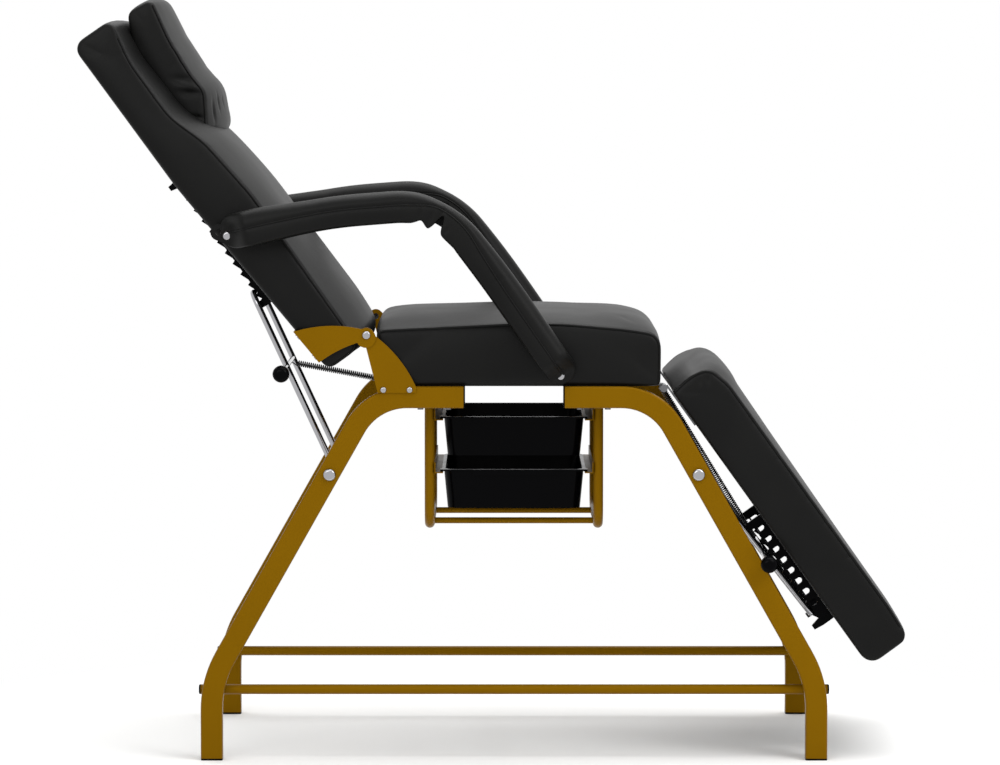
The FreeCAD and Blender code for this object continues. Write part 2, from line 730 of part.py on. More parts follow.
def backrest_pieces():
    def put(shape):
        return tipped(shape, recline_angle, recline_at)

    low_s = back_start + board_inset
    high_s = back_length - board_inset
    outline = [back_place(s, back_face(s)) for s in (high_s, back_bend_s, low_s)]
    outline += [back_place(s, back_face(s) - board_thickness) for s in (low_s, back_bend_s, high_s)]
    outline.append(outline[0])
    board = side_plate(Part.makePolygon(outline).Edges, -board_half, 2 * board_half)
    pocket = board.copy()
    pad = crowned_pad(-back_start, back_start - back_length, -back_plane, pad_half, back_thickness,
                      back_crown, back_shares)
    past_s = back_start - cut_over
    lean = [
        back_place(back_bend_s, back_plane), back_place(past_s, back_face(past_s)),
        back_place(past_s, back_plane + cut_over), back_place(back_bend_s, back_plane + cut_over),
    ]
    lean.append(lean[0])
    heel_s = back_start + heel_radius
    heel_z = -back_face(heel_s) + heel_radius
    heel = box(-heel_s, -back_start + cut_over, -pad_half, pad_half, -back_plane, heel_z)
    heel = heel.cut(cross_rod(-heel_s, heel_z, -pad_half, pad_half, heel_radius))
    pad = pad.cut(side_plate(Part.makePolygon(lean).Edges, -pad_half, pad_width)).cut(heel).cut(pocket)
    screws = []
    screw_ways = []
    for s in fan_screw_places:
        seat = back_place(s, back_face(s)) - back_inward * plate_thickness
        seat -= V(0, fan_out - fan_screw_inset, 0)
        point = seat + back_inward * (plate_thickness + screw_bite)
        head = rod(seat, seat - back_inward * screw_head_height, screw_head_radius)
        screws += both_sides(head.fuse(rod(seat, point, screw_radius)).removeSplitter())
        screw_ways.append(rod(seat - back_inward * cut_over, point, screw_radius + running_gap))
    for way in screw_ways:
        for side_way in both_sides(way):
            pad = pad.cut(side_way)
            board = board.cut(side_way)
    bolt_hole = cross_rod(-arm_back_s, -arm_back_h, -pad_half - cut_over, -board_half + screw_bite,
                          bolt_radius + running_gap)
    spacer_hole = cross_rod(-arm_back_s, -arm_back_h, -pad_half - cut_over, -board_half,
                            shoulder_radius + free_gap)
    for side_hole in both_sides(bolt_hole):
        board = board.cut(side_hole)
    for side_hole in both_sides(spacer_hole):
        pad = pad.cut(side_hole)
    pillow_base = -back_plane + head_thickness
    pillow = crowned_pad(-pillow_start, pillow_start - pillow_end, pillow_base, pillow_width / 2, pillow_edge,
                         pillow_rise - pillow_edge, pillow_shares)
    pressed = pad.copy()
    pressed.translate(V(0, 0, free_gap))
    pillow = pillow.cut(pressed)
    nodes["backrest_board"] = [put(board)]
    nodes["backrest_cushion"] = [put(pad)]
    nodes["headrest_cushion"] = [put(pillow.Solids[0])]
    nodes["plate_screws"] = [put(screw) for screw in screws]
    comb = rack(rear_bar, pocket, -back_face(-rear_bar.x) + board_thickness / 2, back_notches, 0)
    nodes["backrest_rack_near"] = [put(comb)]
    nodes["backrest_rack_far"] = [put(mirrored(comb))]
    top = back_place(fan_top_s, back_face(fan_top_s))
    low = back_place(fan_low_s, back_face(fan_low_s))
    top_out = top - back_inward * plate_thickness
    low_out = low - back_inward * plate_thickness
    throat = back_place(fan_throat_s, fan_throat_h)
    lug_top = V(-pivot_lug_radius, 0, 0)
    lug_front = V(0, 0, pivot_lug_radius)
    plate = side_plate([
        line(top_out, low_out),
        swollen(low_out, throat, fan_low_hollow),
        arc(throat, lug_front, lug_top),
        swollen(lug_top, top_out, -fan_top_swell),
    ], -fan_out, plate_thickness)
    flange = side_plate([line(top, top_out), line(top_out, low_out), line(low_out, low), line(low, top)],
                        -fan_out, fan_flange)
    plate = plate.fuse(flange).removeSplitter()
    plate = plate.cut(cross_rod(0, 0, -fan_out - cut_over, -fan_in + cut_over, bolt_radius + running_gap))
    for way in screw_ways:
        plate = plate.cut(way)
    nodes["backrest_plate_near"] = [put(plate)]
    nodes["backrest_plate_far"] = [put(mirrored(plate))]
    nodes["arm_rear_bolts"] = [put(bolt) for bolt in both_sides(shoulder_bolt(-arm_back_s, -arm_back_h))]


# Legrest, drawn level with its length along +X from the hinge

def legrest_pieces():
    def put(shape):
        return tipped(shape, leg_angle, leg_hinge_at)

    board = box(leg_start + board_inset, leg_length - board_inset, -board_half, board_half,
                leg_plane, leg_plane + leg_board_thickness)
    pad = crowned_pad(leg_start, leg_length - leg_start, leg_plane, pad_half, leg_thickness, leg_crown,
                      leg_shares)
    nodes["legrest_board"] = [put(board)]
    nodes["legrest_cushion"] = [put(pad.cut(board))]
    comb = rack(front_bar, board, leg_plane + leg_board_thickness / 2, leg_notches, leg_notches)
    nodes["legrest_rack_near"] = [put(comb)]
    nodes["legrest_rack_far"] = [put(mirrored(comb))]
    strap = box(0, hinge_leaf_length, 0, knuckle_length, leg_plane - hinge_leaf_thickness, leg_plane)
    knuckle = cross_rod(0, 0, 0, knuckle_length, knuckle_radius)
    strap = strap.fuse(knuckle)
    strap = strap.cut(cross_rod(0, 0, -cut_over, knuckle_length + cut_over, hinge_pin_radius + running_gap))
    strap = strap.removeSplitter()
    strap.translate(V(0, -hinge_half_spacing - knuckle_length / 2, 0))
    nodes["legrest_hinge_straps"] = [put(piece) for piece in both_sides(strap)]
    leaf_y = -hinge_half_spacing + knuckle_length / 2 + free_gap
    leaf = box(leg_hinge_x - hinge_leaf_length, leg_hinge_x, leaf_y, leaf_y + knuckle_length,
               rail_top - hinge_leaf_thickness, rail_top)
    eye = cross_rod(leg_hinge_x, leg_hinge_z, leaf_y, leaf_y + knuckle_length, knuckle_radius)
    leaf = leaf.fuse(eye)
    leaf = leaf.cut(cross_rod(leg_hinge_x, leg_hinge_z, leaf_y - cut_over, leaf_y + knuckle_length + cut_over,
                              hinge_pin_radius)).removeSplitter()
    nodes["legrest_hinge_leaves"] = both_sides(leaf)
    pin_low = -hinge_half_spacing - knuckle_length / 2 - free_gap
    pin_high = leaf_y + knuckle_length
    pin = cross_rod(leg_hinge_x, leg_hinge_z, pin_low, pin_high, hinge_pin_radius)
    head = cross_rod(leg_hinge_x, leg_hinge_z, pin_low - hinge_pin_head, pin_low, knuckle_radius)
    nodes["legrest_hinge_pins"] = both_sides(pin.fuse(head).removeSplitter())


# Bails, drawn along +X from the cross tube

def bail_pieces(name, bar, at):
    turn = math.degrees(math.atan2(at.z - bar.z, bar.x - at.x))

    def put(shape):
        return tipped(shape, turn, at)

    sleeve = cross_rod(0, 0, bail_half_width - sleeve_length / 2, bail_half_width + sleeve_length / 2,
                       sleeve_outer)
    sleeve = sleeve.cut(cross_rod(0, 0, 0, pad_half, cross_radius + running_gap))
    path = bent_path([
        V(0, -bail_half_width, 0), V(bail_length, -bail_half_width, 0),
        V(bail_length, bail_half_width, 0), V(0, bail_half_width, 0),
    ], (bail_bend, bail_bend))
    handle = cross_rod(handle_place, 0, -handle_near, bail_half_width + sleeve_length / 2, handle_radius)
    loop = round_bar(path, bail_rod_radius)
    loop = loop.cut(cross_rod(0, 0, -pad_half, pad_half, sleeve_outer)).cut(handle)
    ball = Part.makeCylinder(knob_radius, knob_length, V(handle_place, -handle_near, 0), V(0, -1, 0))
    rims = [edge for edge in ball.Edges if edge.Curve.TypeId == "Part::GeomCircle"]
    knob = ball.makeFillet(knob_radius * dome_share, rims)
    nodes[name + "_bail_rod"] = [put(loop.Solids[0])]
    nodes[name + "_bail_sleeves"] = [put(piece) for piece in both_sides(sleeve)]
    nodes[name + "_bail_handle"] = [put(handle)]
    nodes[name + "_bail_knob"] = [put(knob)]
    return tipped_point(V(handle_place, 0, 0), turn, at)


# Arms

def arm_pieces():
    front = arm_front
    rear = tipped_point(back_place(arm_back_s, arm_back_h), recline_angle, recline_at)
    radii = (arm_bow_radius, arm_elbow_radius)
    rear_way = (arm_bow - rear).normalize()
    front_way = (arm_elbow - front).normalize()
    end_half = arm_core_height / 2
    core_path = bent_path([rear, arm_bow, arm_elbow, front], radii)
    strip = swept(core_path, rounded_rectangle(arm_core_thickness / 2, end_half, running_gap))
    middle = (core_in + core_out) / 2
    for at in (rear, front):
        strip = strip.fuse(cross_rod(at.x, at.z, -arm_core_thickness / 2, arm_core_thickness / 2, end_half))
    strip.translate(V(0, -middle, 0))
    strip = strip.cut(cross_rod(front.x, front.z, -core_out - cut_over, -core_in + cut_over,
                                bolt_radius + running_gap))
    slot_half = bolt_radius + slot_side_gap
    towards = (front - rear).normalize()
    slot_start = rear - towards * slot_rear
    slot_stop = rear + towards * slot_front
    eye = side_plate(stadium(slot_start, slot_stop, end_half), -core_out, arm_core_thickness)
    strip = strip.fuse(eye)
    strip = strip.cut(side_plate(stadium(slot_start, slot_stop, slot_half), -core_out - cut_over,
                                 arm_core_thickness + 2 * cut_over))
    strip = strip.removeSplitter()
    pad_rear = rear + rear_way * arm_pad_stop
    pad_front = front + front_way * arm_pad_stop
    pad_path = bent_path([pad_rear, arm_bow, arm_elbow, pad_front], radii)
    pad = swept(pad_path, rounded_rectangle(arm_width / 2, arm_height / 2, arm_corner))
    pad.translate(V(0, -arm_half_spacing, 0))
    pad = pad.cut(strip)
    nodes["arm_core_near"] = [strip]
    nodes["arm_core_far"] = [mirrored(strip)]
    nodes["arm_pad_near"] = [pad]
    nodes["arm_pad_far"] = [mirrored(pad)]
    nodes["arm_pivot_bolts"] = both_sides(shoulder_bolt(front.x, front.z))


def stadium(start, stop, half):
    along = (stop - start).normalize()
    out = along.cross(side_normal).normalize() * half
    return [
        line(start + out, stop + out),
        arc(stop + out, stop + along * half, stop - out),
        line(stop - out, start - out),
        arc(start - out, start - along * half, start + out),
    ]


# Tray rack and trays

def hanger_screw_rods(reach, radius):
    rods = []
    for place in (-1, 1):
        x = reach + place * flange_length * flange_screw_share
        foot = V(x, -hanger_half_depth, rail_top - flange_thickness)
        rods.append(rod(foot - V(0, 0, cut_over), foot + V(0, 0, flange_thickness + screw_bite), radius))
    return rods


def tray(rim_height):
    top_half = tray_top_width / 2
    low_half = top_half - tray_taper
    depth_half = tray_depth / 2
    low = rim_height - tray_height

    def shell(inset, z_low, z_high):
        foot = rounded_rectangle(low_half - inset, depth_half - tray_taper - inset, tray_corner - inset)
        head = rounded_rectangle(top_half - inset, depth_half - inset, tray_corner - inset)
        foot.translate(V(0, 0, z_low))
        head.translate(V(0, 0, z_high))
        return Part.makeLoft([foot, head], True, True)

    body = shell(0, low, rim_height)
    rim = Part.Face(rounded_rectangle(top_half + tray_rim, depth_half + tray_rim, tray_corner + tray_rim))
    rim = rim.extrude(V(0, 0, tray_rim_thickness))
    rim.translate(V(0, 0, rim_height - tray_rim_thickness))
    ear_half = top_half + tray_rim + tray_ear
    ear = box(-ear_half, ear_half, -depth_half - tray_rim, -depth_half - tray_rim + tray_ear_length,
              rim_height - tray_rim_thickness, rim_height)
    uprights = [edge for edge in ear.Edges if edge.Length < tray_rim_thickness + tiny]
    ear = ear.makeFillet(tray_ear, uprights)
    hollow = shell(tray_wall, low + tray_wall, rim_height)
    mouth = rounded_rectangle(top_half - tray_wall, depth_half - tray_wall, tray_corner - tray_wall)
    mouth.translate(V(0, 0, rim_height))
    mouth = Part.Face(mouth).extrude(V(0, 0, cut_over))
    pull_rear = -depth_half - tray_rim
    pull = box(-pull_width / 2, pull_width / 2, pull_rear - pull_thickness, pull_rear,
               rim_height - pull_height, rim_height)
    return body.fuse(rim).fuse(ear).fuse(pull).cut(hollow).cut(mouth).removeSplitter()


def tray_pieces():
    post_top = rail_top - flange_thickness
    hangers = []
    screws = []
    for side, name in ((-1, "rear"), (1, "front")):
        x = side * hanger_reach
        path = bent_path([
            V(x, -hanger_half_depth, post_top), V(x, -hanger_half_depth, hanger_floor),
            V(x, hanger_half_depth, hanger_floor), V(x, hanger_half_depth, post_top),
        ], (hanger_bend, hanger_bend))
        loop = round_bar(path, hanger_radius)
        flange = box(x - flange_length / 2, x + flange_length / 2, -hanger_half_depth - flange_width / 2,
                     -hanger_half_depth + flange_width / 2, post_top, rail_top)
        for hole in hanger_screw_rods(x, screw_radius + running_gap):
            flange = flange.cut(hole)
        for plate in both_sides(flange):
            loop = loop.fuse(plate)
        loop = loop.removeSplitter()
        nodes["tray_hanger_" + name] = [loop]
        hangers.append(loop)
        for place in (-1, 1):
            seat = V(x + place * flange_length * flange_screw_share, -hanger_half_depth, post_top)
            head = rod(seat, seat - V(0, 0, screw_head_height), screw_head_radius * flange_head_share)
            shank = rod(seat, seat + V(0, 0, flange_thickness + screw_bite), screw_radius)
            screws += both_sides(head.fuse(shank).removeSplitter())
    nodes["tray_hanger_screws"] = screws
    bar = rod(V(-hanger_reach, -base_bar_half_spacing, hanger_floor),
              V(hanger_reach, -base_bar_half_spacing, hanger_floor), base_bar_radius)
    for loop in hangers:
        bar = bar.cut(loop)
    nodes["tray_base_bars"] = both_sides(bar.Solids[0])
    wall_out = hanger_reach - hanger_radius
    runners = []
    for rim_height in tray_rims:
        under = rim_height - tray_rim_thickness - free_gap
        wall = box(wall_out - runner_thickness, wall_out, -runner_half, runner_half,
                   under - runner_thickness, under + runner_wall)
        lip = box(wall_out - runner_lip, wall_out, -runner_half, runner_half,
                  under - runner_thickness, under)
        runner = wall.fuse(lip).removeSplitter()
        runners += [runner, runner.mirror(V(0, 0, 0), V(1, 0, 0))]
    nodes["tray_runners"] = runners
    nodes["tray_upper"] = [tray(tray_rims[0])]
    nodes["tray_lower"] = [tray(tray_rims[1])]


# Coil springs: a helix of half-turn biarcs with a straight leg at each end

def biarc(start, start_way, end, end_way):
    run = end - start
    both = start_way + end_way
    spread = 2 * (1 - start_way.dot(end_way))
    lead = run.dot(both)
    if spread < tiny:
        reach = run.dot(run) / (2 * lead)
    else:
        reach = (-lead + math.sqrt(lead * lead + spread * run.dot(run))) / spread
    joint = (start + end + (start_way - end_way) * reach) * half_share
    return [tangent_arc(start, start_way, joint), tangent_arc(end, end_way * -1, joint, True)]


def tangent_arc(start, way, end, reverse=False):
    chord = end - start
    along = chord.Length
    line_way = chord * (1 / along)
    out = way - line_way * way.dot(line_way)
    half_angle = math.acos(max(-1.0, min(1.0, way.dot(line_way))))
    if out.Length < tiny * tiny:
        return line(end, start) if reverse else line(start, end)
    middle = start + chord * half_share + out.normalize() * (along / 2 * math.tan(half_angle / 2))
    return arc(end, middle, start) if reverse else arc(start, middle, end)


def coil_spring(start, end, turns):
    along = (end - start).normalize()
    across = side_normal
    third = along.cross(across)
    lead_in = spring_leg + spring_radius
    length = (end - start).Length - 2 * lead_in
    pitch = length / turns
    slope = pitch / (2 * math.pi)

    def place(turn):
        angle = 2 * math.pi * turn
        return (start + along * (lead_in + pitch * turn)
                + (across * math.cos(angle) + third * math.sin(angle)) * spring_radius)

    def way(turn):
        angle = 2 * math.pi * turn
        flat = (third * math.cos(angle) - across * math.sin(angle)) * spring_radius
        return (flat + along * slope).normalize()

    edges = [line(start, start + along * spring_leg)]
    edges += biarc(start + along * spring_leg, along, place(0), way(0))
    halves = 2 * turns
    for half in range(halves):
        edges += biarc(place(half / 2), way(half / 2), place((half + 1) / 2), way((half + 1) / 2))
    leg_out = end - along * spring_leg
    edges += biarc(place(turns), way(turns), leg_out, along)
    edges.append(line(leg_out, end))
    path = Part.Wire(edges)
    coil = round_bar(path, spring_wire)
    gap = math.sqrt(pitch * pitch / (1 + (slope / spring_radius) ** 2)) - 2 * spring_wire
    samples = path.discretize(Number=turns * 24)
    arc_step = path.Length / (len(samples) - 1)
    skip = int(math.pi * spring_radius / arc_step) + 1
    least = min((samples[i] - samples[j]).Length for i in range(len(samples))
                for j in range(i + skip, min(len(samples), i + 4 * skip)))
    volume_share = coil.Volume / (math.pi * spring_wire ** 2 * path.Length)
    print("spring of", turns, "turns: least gap to itself", round(least - 2 * spring_wire, 2),
          "mm, pitch gap", round(gap, 2), "mm, volume of wire times length", round(volume_share, 4))
    return coil


def spring_pieces(rear_end, front_end):
    anchors = []
    springs = []
    for x, side, handle_at, turns in ((rear_anchor_x, 1, rear_end, rear_turns),
                                      (front_anchor_x, -1, front_end, front_turns)):
        x_low = min(x, x + side * anchor_length)
        x_high = max(x, x + side * anchor_length)
        top = box(x_low, x_high, -anchor_width / 2, anchor_width / 2, rail_top - anchor_thickness, rail_top)
        tab_low = min(x, x + side * anchor_thickness)
        tab = box(tab_low, tab_low + anchor_thickness, -anchor_width / 2, anchor_width / 2,
                  rail_top - anchor_drop, rail_top)
        anchors.append(top.fuse(tab).removeSplitter())
        start = V(x, 0, rail_top - anchor_drop * anchor_hole_share)
        way = (handle_at - start).normalize()
        start = start + way * (spring_wire + free_gap)
        end = handle_at - way * (handle_radius + free_gap)
        springs.append(coil_spring(start, end, turns))
    nodes["spring_anchors"] = anchors
    nodes["rear_spring"] = [springs[0]]
    nodes["front_spring"] = [springs[1]]


# The whole chair

frame_pieces()
seat_pieces()
bracket_pieces()
backrest_pieces()
legrest_pieces()
rear_handle = bail_pieces("rear", tipped_point(rear_bar, recline_angle, recline_at), rear_cross_at)
front_handle = bail_pieces("front", tipped_point(front_bar, leg_angle, leg_hinge_at), front_cross_at)
arm_pieces()
tray_pieces()
spring_pieces(rear_handle, front_handle)

whole = Part.makeCompound([solid for solids in nodes.values() for solid in solids])
room = whole.optimalBoundingBox(True, False)
shift = V(-(room.XMin + room.XMax) / 2, -(room.YMin + room.YMax) / 2, -room.ZMin)
os.makedirs("parts", exist_ok=True)
for name, solids in nodes.items():
    for solid in solids:
        solid.translate(shift)
    shape = solids[0] if len(solids) == 1 else Part.makeCompound(solids)
    if not shape.isValid():
        print("not valid:", name)
    shape.exportStep("parts/" + name + ".step")
print(len(nodes), "nodes; box", [round(v, 1) for v in (room.XLength, room.YLength, room.ZLength)],
      "shift", [round(v, 2) for v in shift])
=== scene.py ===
import bmesh
import bpy
import json
import math
import numpy as np
from mathutils import Matrix, Vector
from mathutils.kdtree import KDTree

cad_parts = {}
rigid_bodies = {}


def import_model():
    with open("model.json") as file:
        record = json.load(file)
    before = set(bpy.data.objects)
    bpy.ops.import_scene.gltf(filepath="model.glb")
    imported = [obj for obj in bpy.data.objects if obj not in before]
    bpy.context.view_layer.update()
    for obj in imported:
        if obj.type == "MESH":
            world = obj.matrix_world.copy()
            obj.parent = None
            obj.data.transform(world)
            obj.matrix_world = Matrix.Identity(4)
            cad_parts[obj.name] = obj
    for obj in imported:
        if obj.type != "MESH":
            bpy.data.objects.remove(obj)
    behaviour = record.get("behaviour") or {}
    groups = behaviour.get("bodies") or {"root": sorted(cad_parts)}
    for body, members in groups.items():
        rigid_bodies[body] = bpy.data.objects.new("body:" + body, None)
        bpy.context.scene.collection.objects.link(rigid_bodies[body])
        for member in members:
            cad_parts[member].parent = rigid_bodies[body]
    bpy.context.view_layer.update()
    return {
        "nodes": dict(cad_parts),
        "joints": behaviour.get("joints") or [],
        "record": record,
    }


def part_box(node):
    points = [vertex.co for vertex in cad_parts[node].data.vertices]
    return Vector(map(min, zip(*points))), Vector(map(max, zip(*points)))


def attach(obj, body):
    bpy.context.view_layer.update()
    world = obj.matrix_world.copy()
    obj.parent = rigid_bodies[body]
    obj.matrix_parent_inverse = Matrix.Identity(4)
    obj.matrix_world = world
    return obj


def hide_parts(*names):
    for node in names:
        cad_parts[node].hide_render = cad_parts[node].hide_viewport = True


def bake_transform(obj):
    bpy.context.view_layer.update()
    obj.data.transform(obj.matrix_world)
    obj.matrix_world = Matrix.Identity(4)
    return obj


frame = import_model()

mm = 0.001
joints = {joint["name"]: joint for joint in frame["joints"]}
slotOf = {row["node"]: row["material_slot"] for row in frame["record"]["subparts"]}
scene = bpy.context.scene
scene.view_settings.view_transform = "Standard"
print("frame loaded,", len(frame["nodes"]), "CAD nodes")


# small tools

def deselectAll():
    for obj in bpy.context.view_layer.objects:
        obj.select_set(False)


def activate(obj):
    deselectAll()
    obj.select_set(True)
    bpy.context.view_layer.objects.active = obj


def applyModifier(obj, kind, **settings):
    activate(obj)
    modifier = obj.modifiers.new(kind.lower(), kind)
    for key, value in settings.items():
        setattr(modifier, key, value)
    bpy.ops.object.modifier_apply(modifier=modifier.name)


def linkNew(name, data):
    obj = bpy.data.objects.new(name, data)
    scene.collection.objects.link(obj)
    return obj


def readPoints(vertices, layer):
    flat = np.zeros(len(vertices) * 3)
    vertices.foreach_get(layer, flat)
    return flat.reshape(-1, 3)


def coordsOf(obj):
    return readPoints(obj.data.vertices, "co")


def normalsOf(obj):
    return readPoints(obj.data.vertices, "normal")


def setCoords(obj, coords):
    obj.data.vertices.foreach_set("co", coords.ravel())
    obj.data.update()


def smoothStep(low, high, value):
    share = np.clip((value - low) / (high - low), 0, 1)
    return share * share * (3 - 2 * share)


# colours and materials

def linear(hexText):
    channels = [int(hexText[i:i + 2], 16) / 255 for i in (1, 3, 5)]
    return tuple(c / 12.92 if c <= 0.04045 else ((c + 0.055) / 1.055) ** 2.4 for c in channels) + (1.0,)


def addNode(tree, kind, inputs=None, **settings):
    node = tree.nodes.new(kind)
    for key, value in settings.items():
        setattr(node, key, value)
    for key, value in (inputs or {}).items():
        if isinstance(value, bpy.types.NodeSocket):
            tree.links.new(value, node.inputs[key])
        else:
            node.inputs[key].default_value = value
    return node


def newMaterial(name, roughness, metallic=0.0, specular=0.5):
    material = bpy.data.materials.new(name)
    material.use_nodes = True
    tree = material.node_tree
    shader = tree.nodes["Principled BSDF"]
    shader.inputs["Roughness"].default_value = roughness
    shader.inputs["Metallic"].default_value = metallic
    shader.inputs["Specular IOR Level"].default_value = specular
    place = addNode(tree, "ShaderNodeTexCoord").outputs["Object"]
    return material, tree, shader, place


def perMillimetre(size):
    return 1.0 / (size * mm)


# in each finish, glossier and duller say how far the roughness strays, and sizes and depths are in mm

def makeGoldPaint():
    # satin powder coat on steel tube: even dark gold, faint orange peel, slightly uneven gloss
    paint = {"colour": "#735103", "deep": "#6D4C03", "tint": "#FFC94A", "specular": 0.2,
             "roughness": 0.38, "glossier": 0.05, "duller": 0.06, "cloud": 90,
             "peel": 1.6, "peelStrength": 0.12, "peelDepth": 0.2}
    material, tree, shader, place = newMaterial("goldPowderCoat", paint["roughness"],
                                                specular=paint["specular"])
    shader.inputs["Specular Tint"].default_value = linear(paint["tint"])
    cloud = addNode(tree, "ShaderNodeTexNoise", {"Vector": place, "Scale": perMillimetre(paint["cloud"])})
    tone = addNode(tree, "ShaderNodeMix", {
        "Factor": cloud.outputs["Fac"], "A": linear(paint["deep"]), "B": linear(paint["colour"])},
        data_type="RGBA")
    tree.links.new(tone.outputs["Result"], shader.inputs["Base Color"])
    peel = addNode(tree, "ShaderNodeTexNoise", {
        "Vector": place, "Scale": perMillimetre(paint["peel"]), "Detail": 1.0})
    gloss = addNode(tree, "ShaderNodeMapRange", {
        "Value": cloud.outputs["Fac"], "To Min": paint["roughness"] - paint["glossier"],
        "To Max": paint["roughness"] + paint["duller"]})
    tree.links.new(gloss.outputs["Result"], shader.inputs["Roughness"])
    bump = addNode(tree, "ShaderNodeBump", {
        "Height": peel.outputs["Fac"], "Strength": paint["peelStrength"], "Distance": paint["peelDepth"] * mm})
    tree.links.new(bump.outputs["Normal"], shader.inputs["Normal"])
    return material


def makeLeather():
    # black coated upholstery leather: embossed pebble grain, soft sheen, duller where it is stretched
    # the grain of such a cover is about 1 mm, and is drawn at twice that so that it shows
    hide = {"colour": "#0B0B0B", "worn": "#131312", "specular": 0.1,
            "roughness": 0.42, "glossier": 0.06, "duller": 0.08, "cloud": 120,
            "pebble": 2.2, "pebbleStrength": 0.22, "pebbleDepth": 0.25,
            "crumple": 5, "crumpleStrength": 0.16, "crumpleDepth": 0.8}  # crumple is counted in pebbles
    material, tree, shader, place = newMaterial("blackCoatedLeather", hide["roughness"],
                                                specular=hide["specular"])
    pebble = addNode(tree, "ShaderNodeTexVoronoi", {"Vector": place, "Scale": perMillimetre(hide["pebble"])},
                     feature="DISTANCE_TO_EDGE")
    crumple = addNode(tree, "ShaderNodeTexNoise", {
        "Vector": place, "Scale": perMillimetre(hide["pebble"] * hide["crumple"]), "Detail": 3.0})
    cloud = addNode(tree, "ShaderNodeTexNoise", {"Vector": place, "Scale": perMillimetre(hide["cloud"])})
    tone = addNode(tree, "ShaderNodeMix", {
        "Factor": cloud.outputs["Fac"], "A": linear(hide["colour"]), "B": linear(hide["worn"])},
        data_type="RGBA")
    tree.links.new(tone.outputs["Result"], shader.inputs["Base Color"])
    gloss = addNode(tree, "ShaderNodeMapRange", {
        "Value": cloud.outputs["Fac"], "To Min": hide["roughness"] - hide["glossier"],
        "To Max": hide["roughness"] + hide["duller"]})
    tree.links.new(gloss.outputs["Result"], shader.inputs["Roughness"])
    grain = addNode(tree, "ShaderNodeBump", {
        "Height": pebble.outputs["Distance"], "Strength": hide["pebbleStrength"],
        "Distance": hide["pebbleDepth"] * mm})
    soft = addNode(tree, "ShaderNodeBump", {
        "Height": crumple.outputs["Fac"], "Strength": hide["crumpleStrength"],
        "Distance": hide["crumpleDepth"] * mm, "Normal": grain.outputs["Normal"]})
    tree.links.new(soft.outputs["Normal"], shader.inputs["Normal"])
    return material


def makePlastic():
    # black moulded polypropylene: smooth, faint flow marks, fine spark-eroded texture
    moulding = {"colour": "#020203", "specular": 0.04,
                "roughness": 0.2, "glossier": 0.06, "duller": 0.08, "flow": 60,
                "texture": 0.9, "textureStrength": 0.08, "textureDepth": 0.1}
    material, tree, shader, place = newMaterial("blackMouldedPlastic", moulding["roughness"],
                                                specular=moulding["specular"])
    shader.inputs["Base Color"].default_value = linear(moulding["colour"])
    flow = addNode(tree, "ShaderNodeTexNoise", {"Vector": place, "Scale": perMillimetre(moulding["flow"])})
    gloss = addNode(tree, "ShaderNodeMapRange", {
        "Value": flow.outputs["Fac"], "To Min": moulding["roughness"] - moulding["glossier"],
        "To Max": moulding["roughness"] + moulding["duller"]})
    tree.links.new(gloss.outputs["Result"], shader.inputs["Roughness"])
    texture = addNode(tree, "ShaderNodeTexNoise", {
        "Vector": place, "Scale": perMillimetre(moulding["texture"])})
    bump = addNode(tree, "ShaderNodeBump", {
        "Height": texture.outputs["Fac"], "Strength": moulding["textureStrength"],
        "Distance": moulding["textureDepth"] * mm})
    tree.links.new(bump.outputs["Normal"], shader.inputs["Normal"])
    return material


def makeMetal(name, metal):
    # bare or plated steel: tight reflections, roughness broken up by fine drawing marks
    material, tree, shader, place = newMaterial(name, metal["roughness"], metallic=1.0)
    shader.inputs["Base Color"].default_value = linear(metal["colour"])
    marks = addNode(tree, "ShaderNodeTexNoise", {
        "Vector": place, "Scale": perMillimetre(metal["marks"]), "Detail": 4.0})
    gloss = addNode(tree, "ShaderNodeMapRange", {
        "Value": marks.outputs["Fac"], "To Min": metal["roughness"] - metal["spread"],
        "To Max": metal["roughness"] + metal["spread"]})
    tree.links.new(gloss.outputs["Result"], shader.inputs["Roughness"])
    return material


def makeBlackSteel():
    # black stove enamel on pressed steel: low sheen with a faint grit
    enamel = {"colour": "#0A0A0A", "roughness": 0.42, "specular": 0.12,
              "grit": 1.2, "gritStrength": 0.15, "gritDepth": 0.15}
    material, tree, shader, place = newMaterial("blackEnamelSteel", enamel["roughness"],
                                                specular=enamel["specular"])
    shader.inputs["Base Color"].default_value = linear(enamel["colour"])
    grit = addNode(tree, "ShaderNodeTexNoise", {"Vector": place, "Scale": perMillimetre(enamel["grit"])})
    bump = addNode(tree, "ShaderNodeBump", {
        "Height": grit.outputs["Fac"], "Strength": enamel["gritStrength"],
        "Distance": enamel["gritDepth"] * mm})
    tree.links.new(bump.outputs["Normal"], shader.inputs["Normal"])
    return material


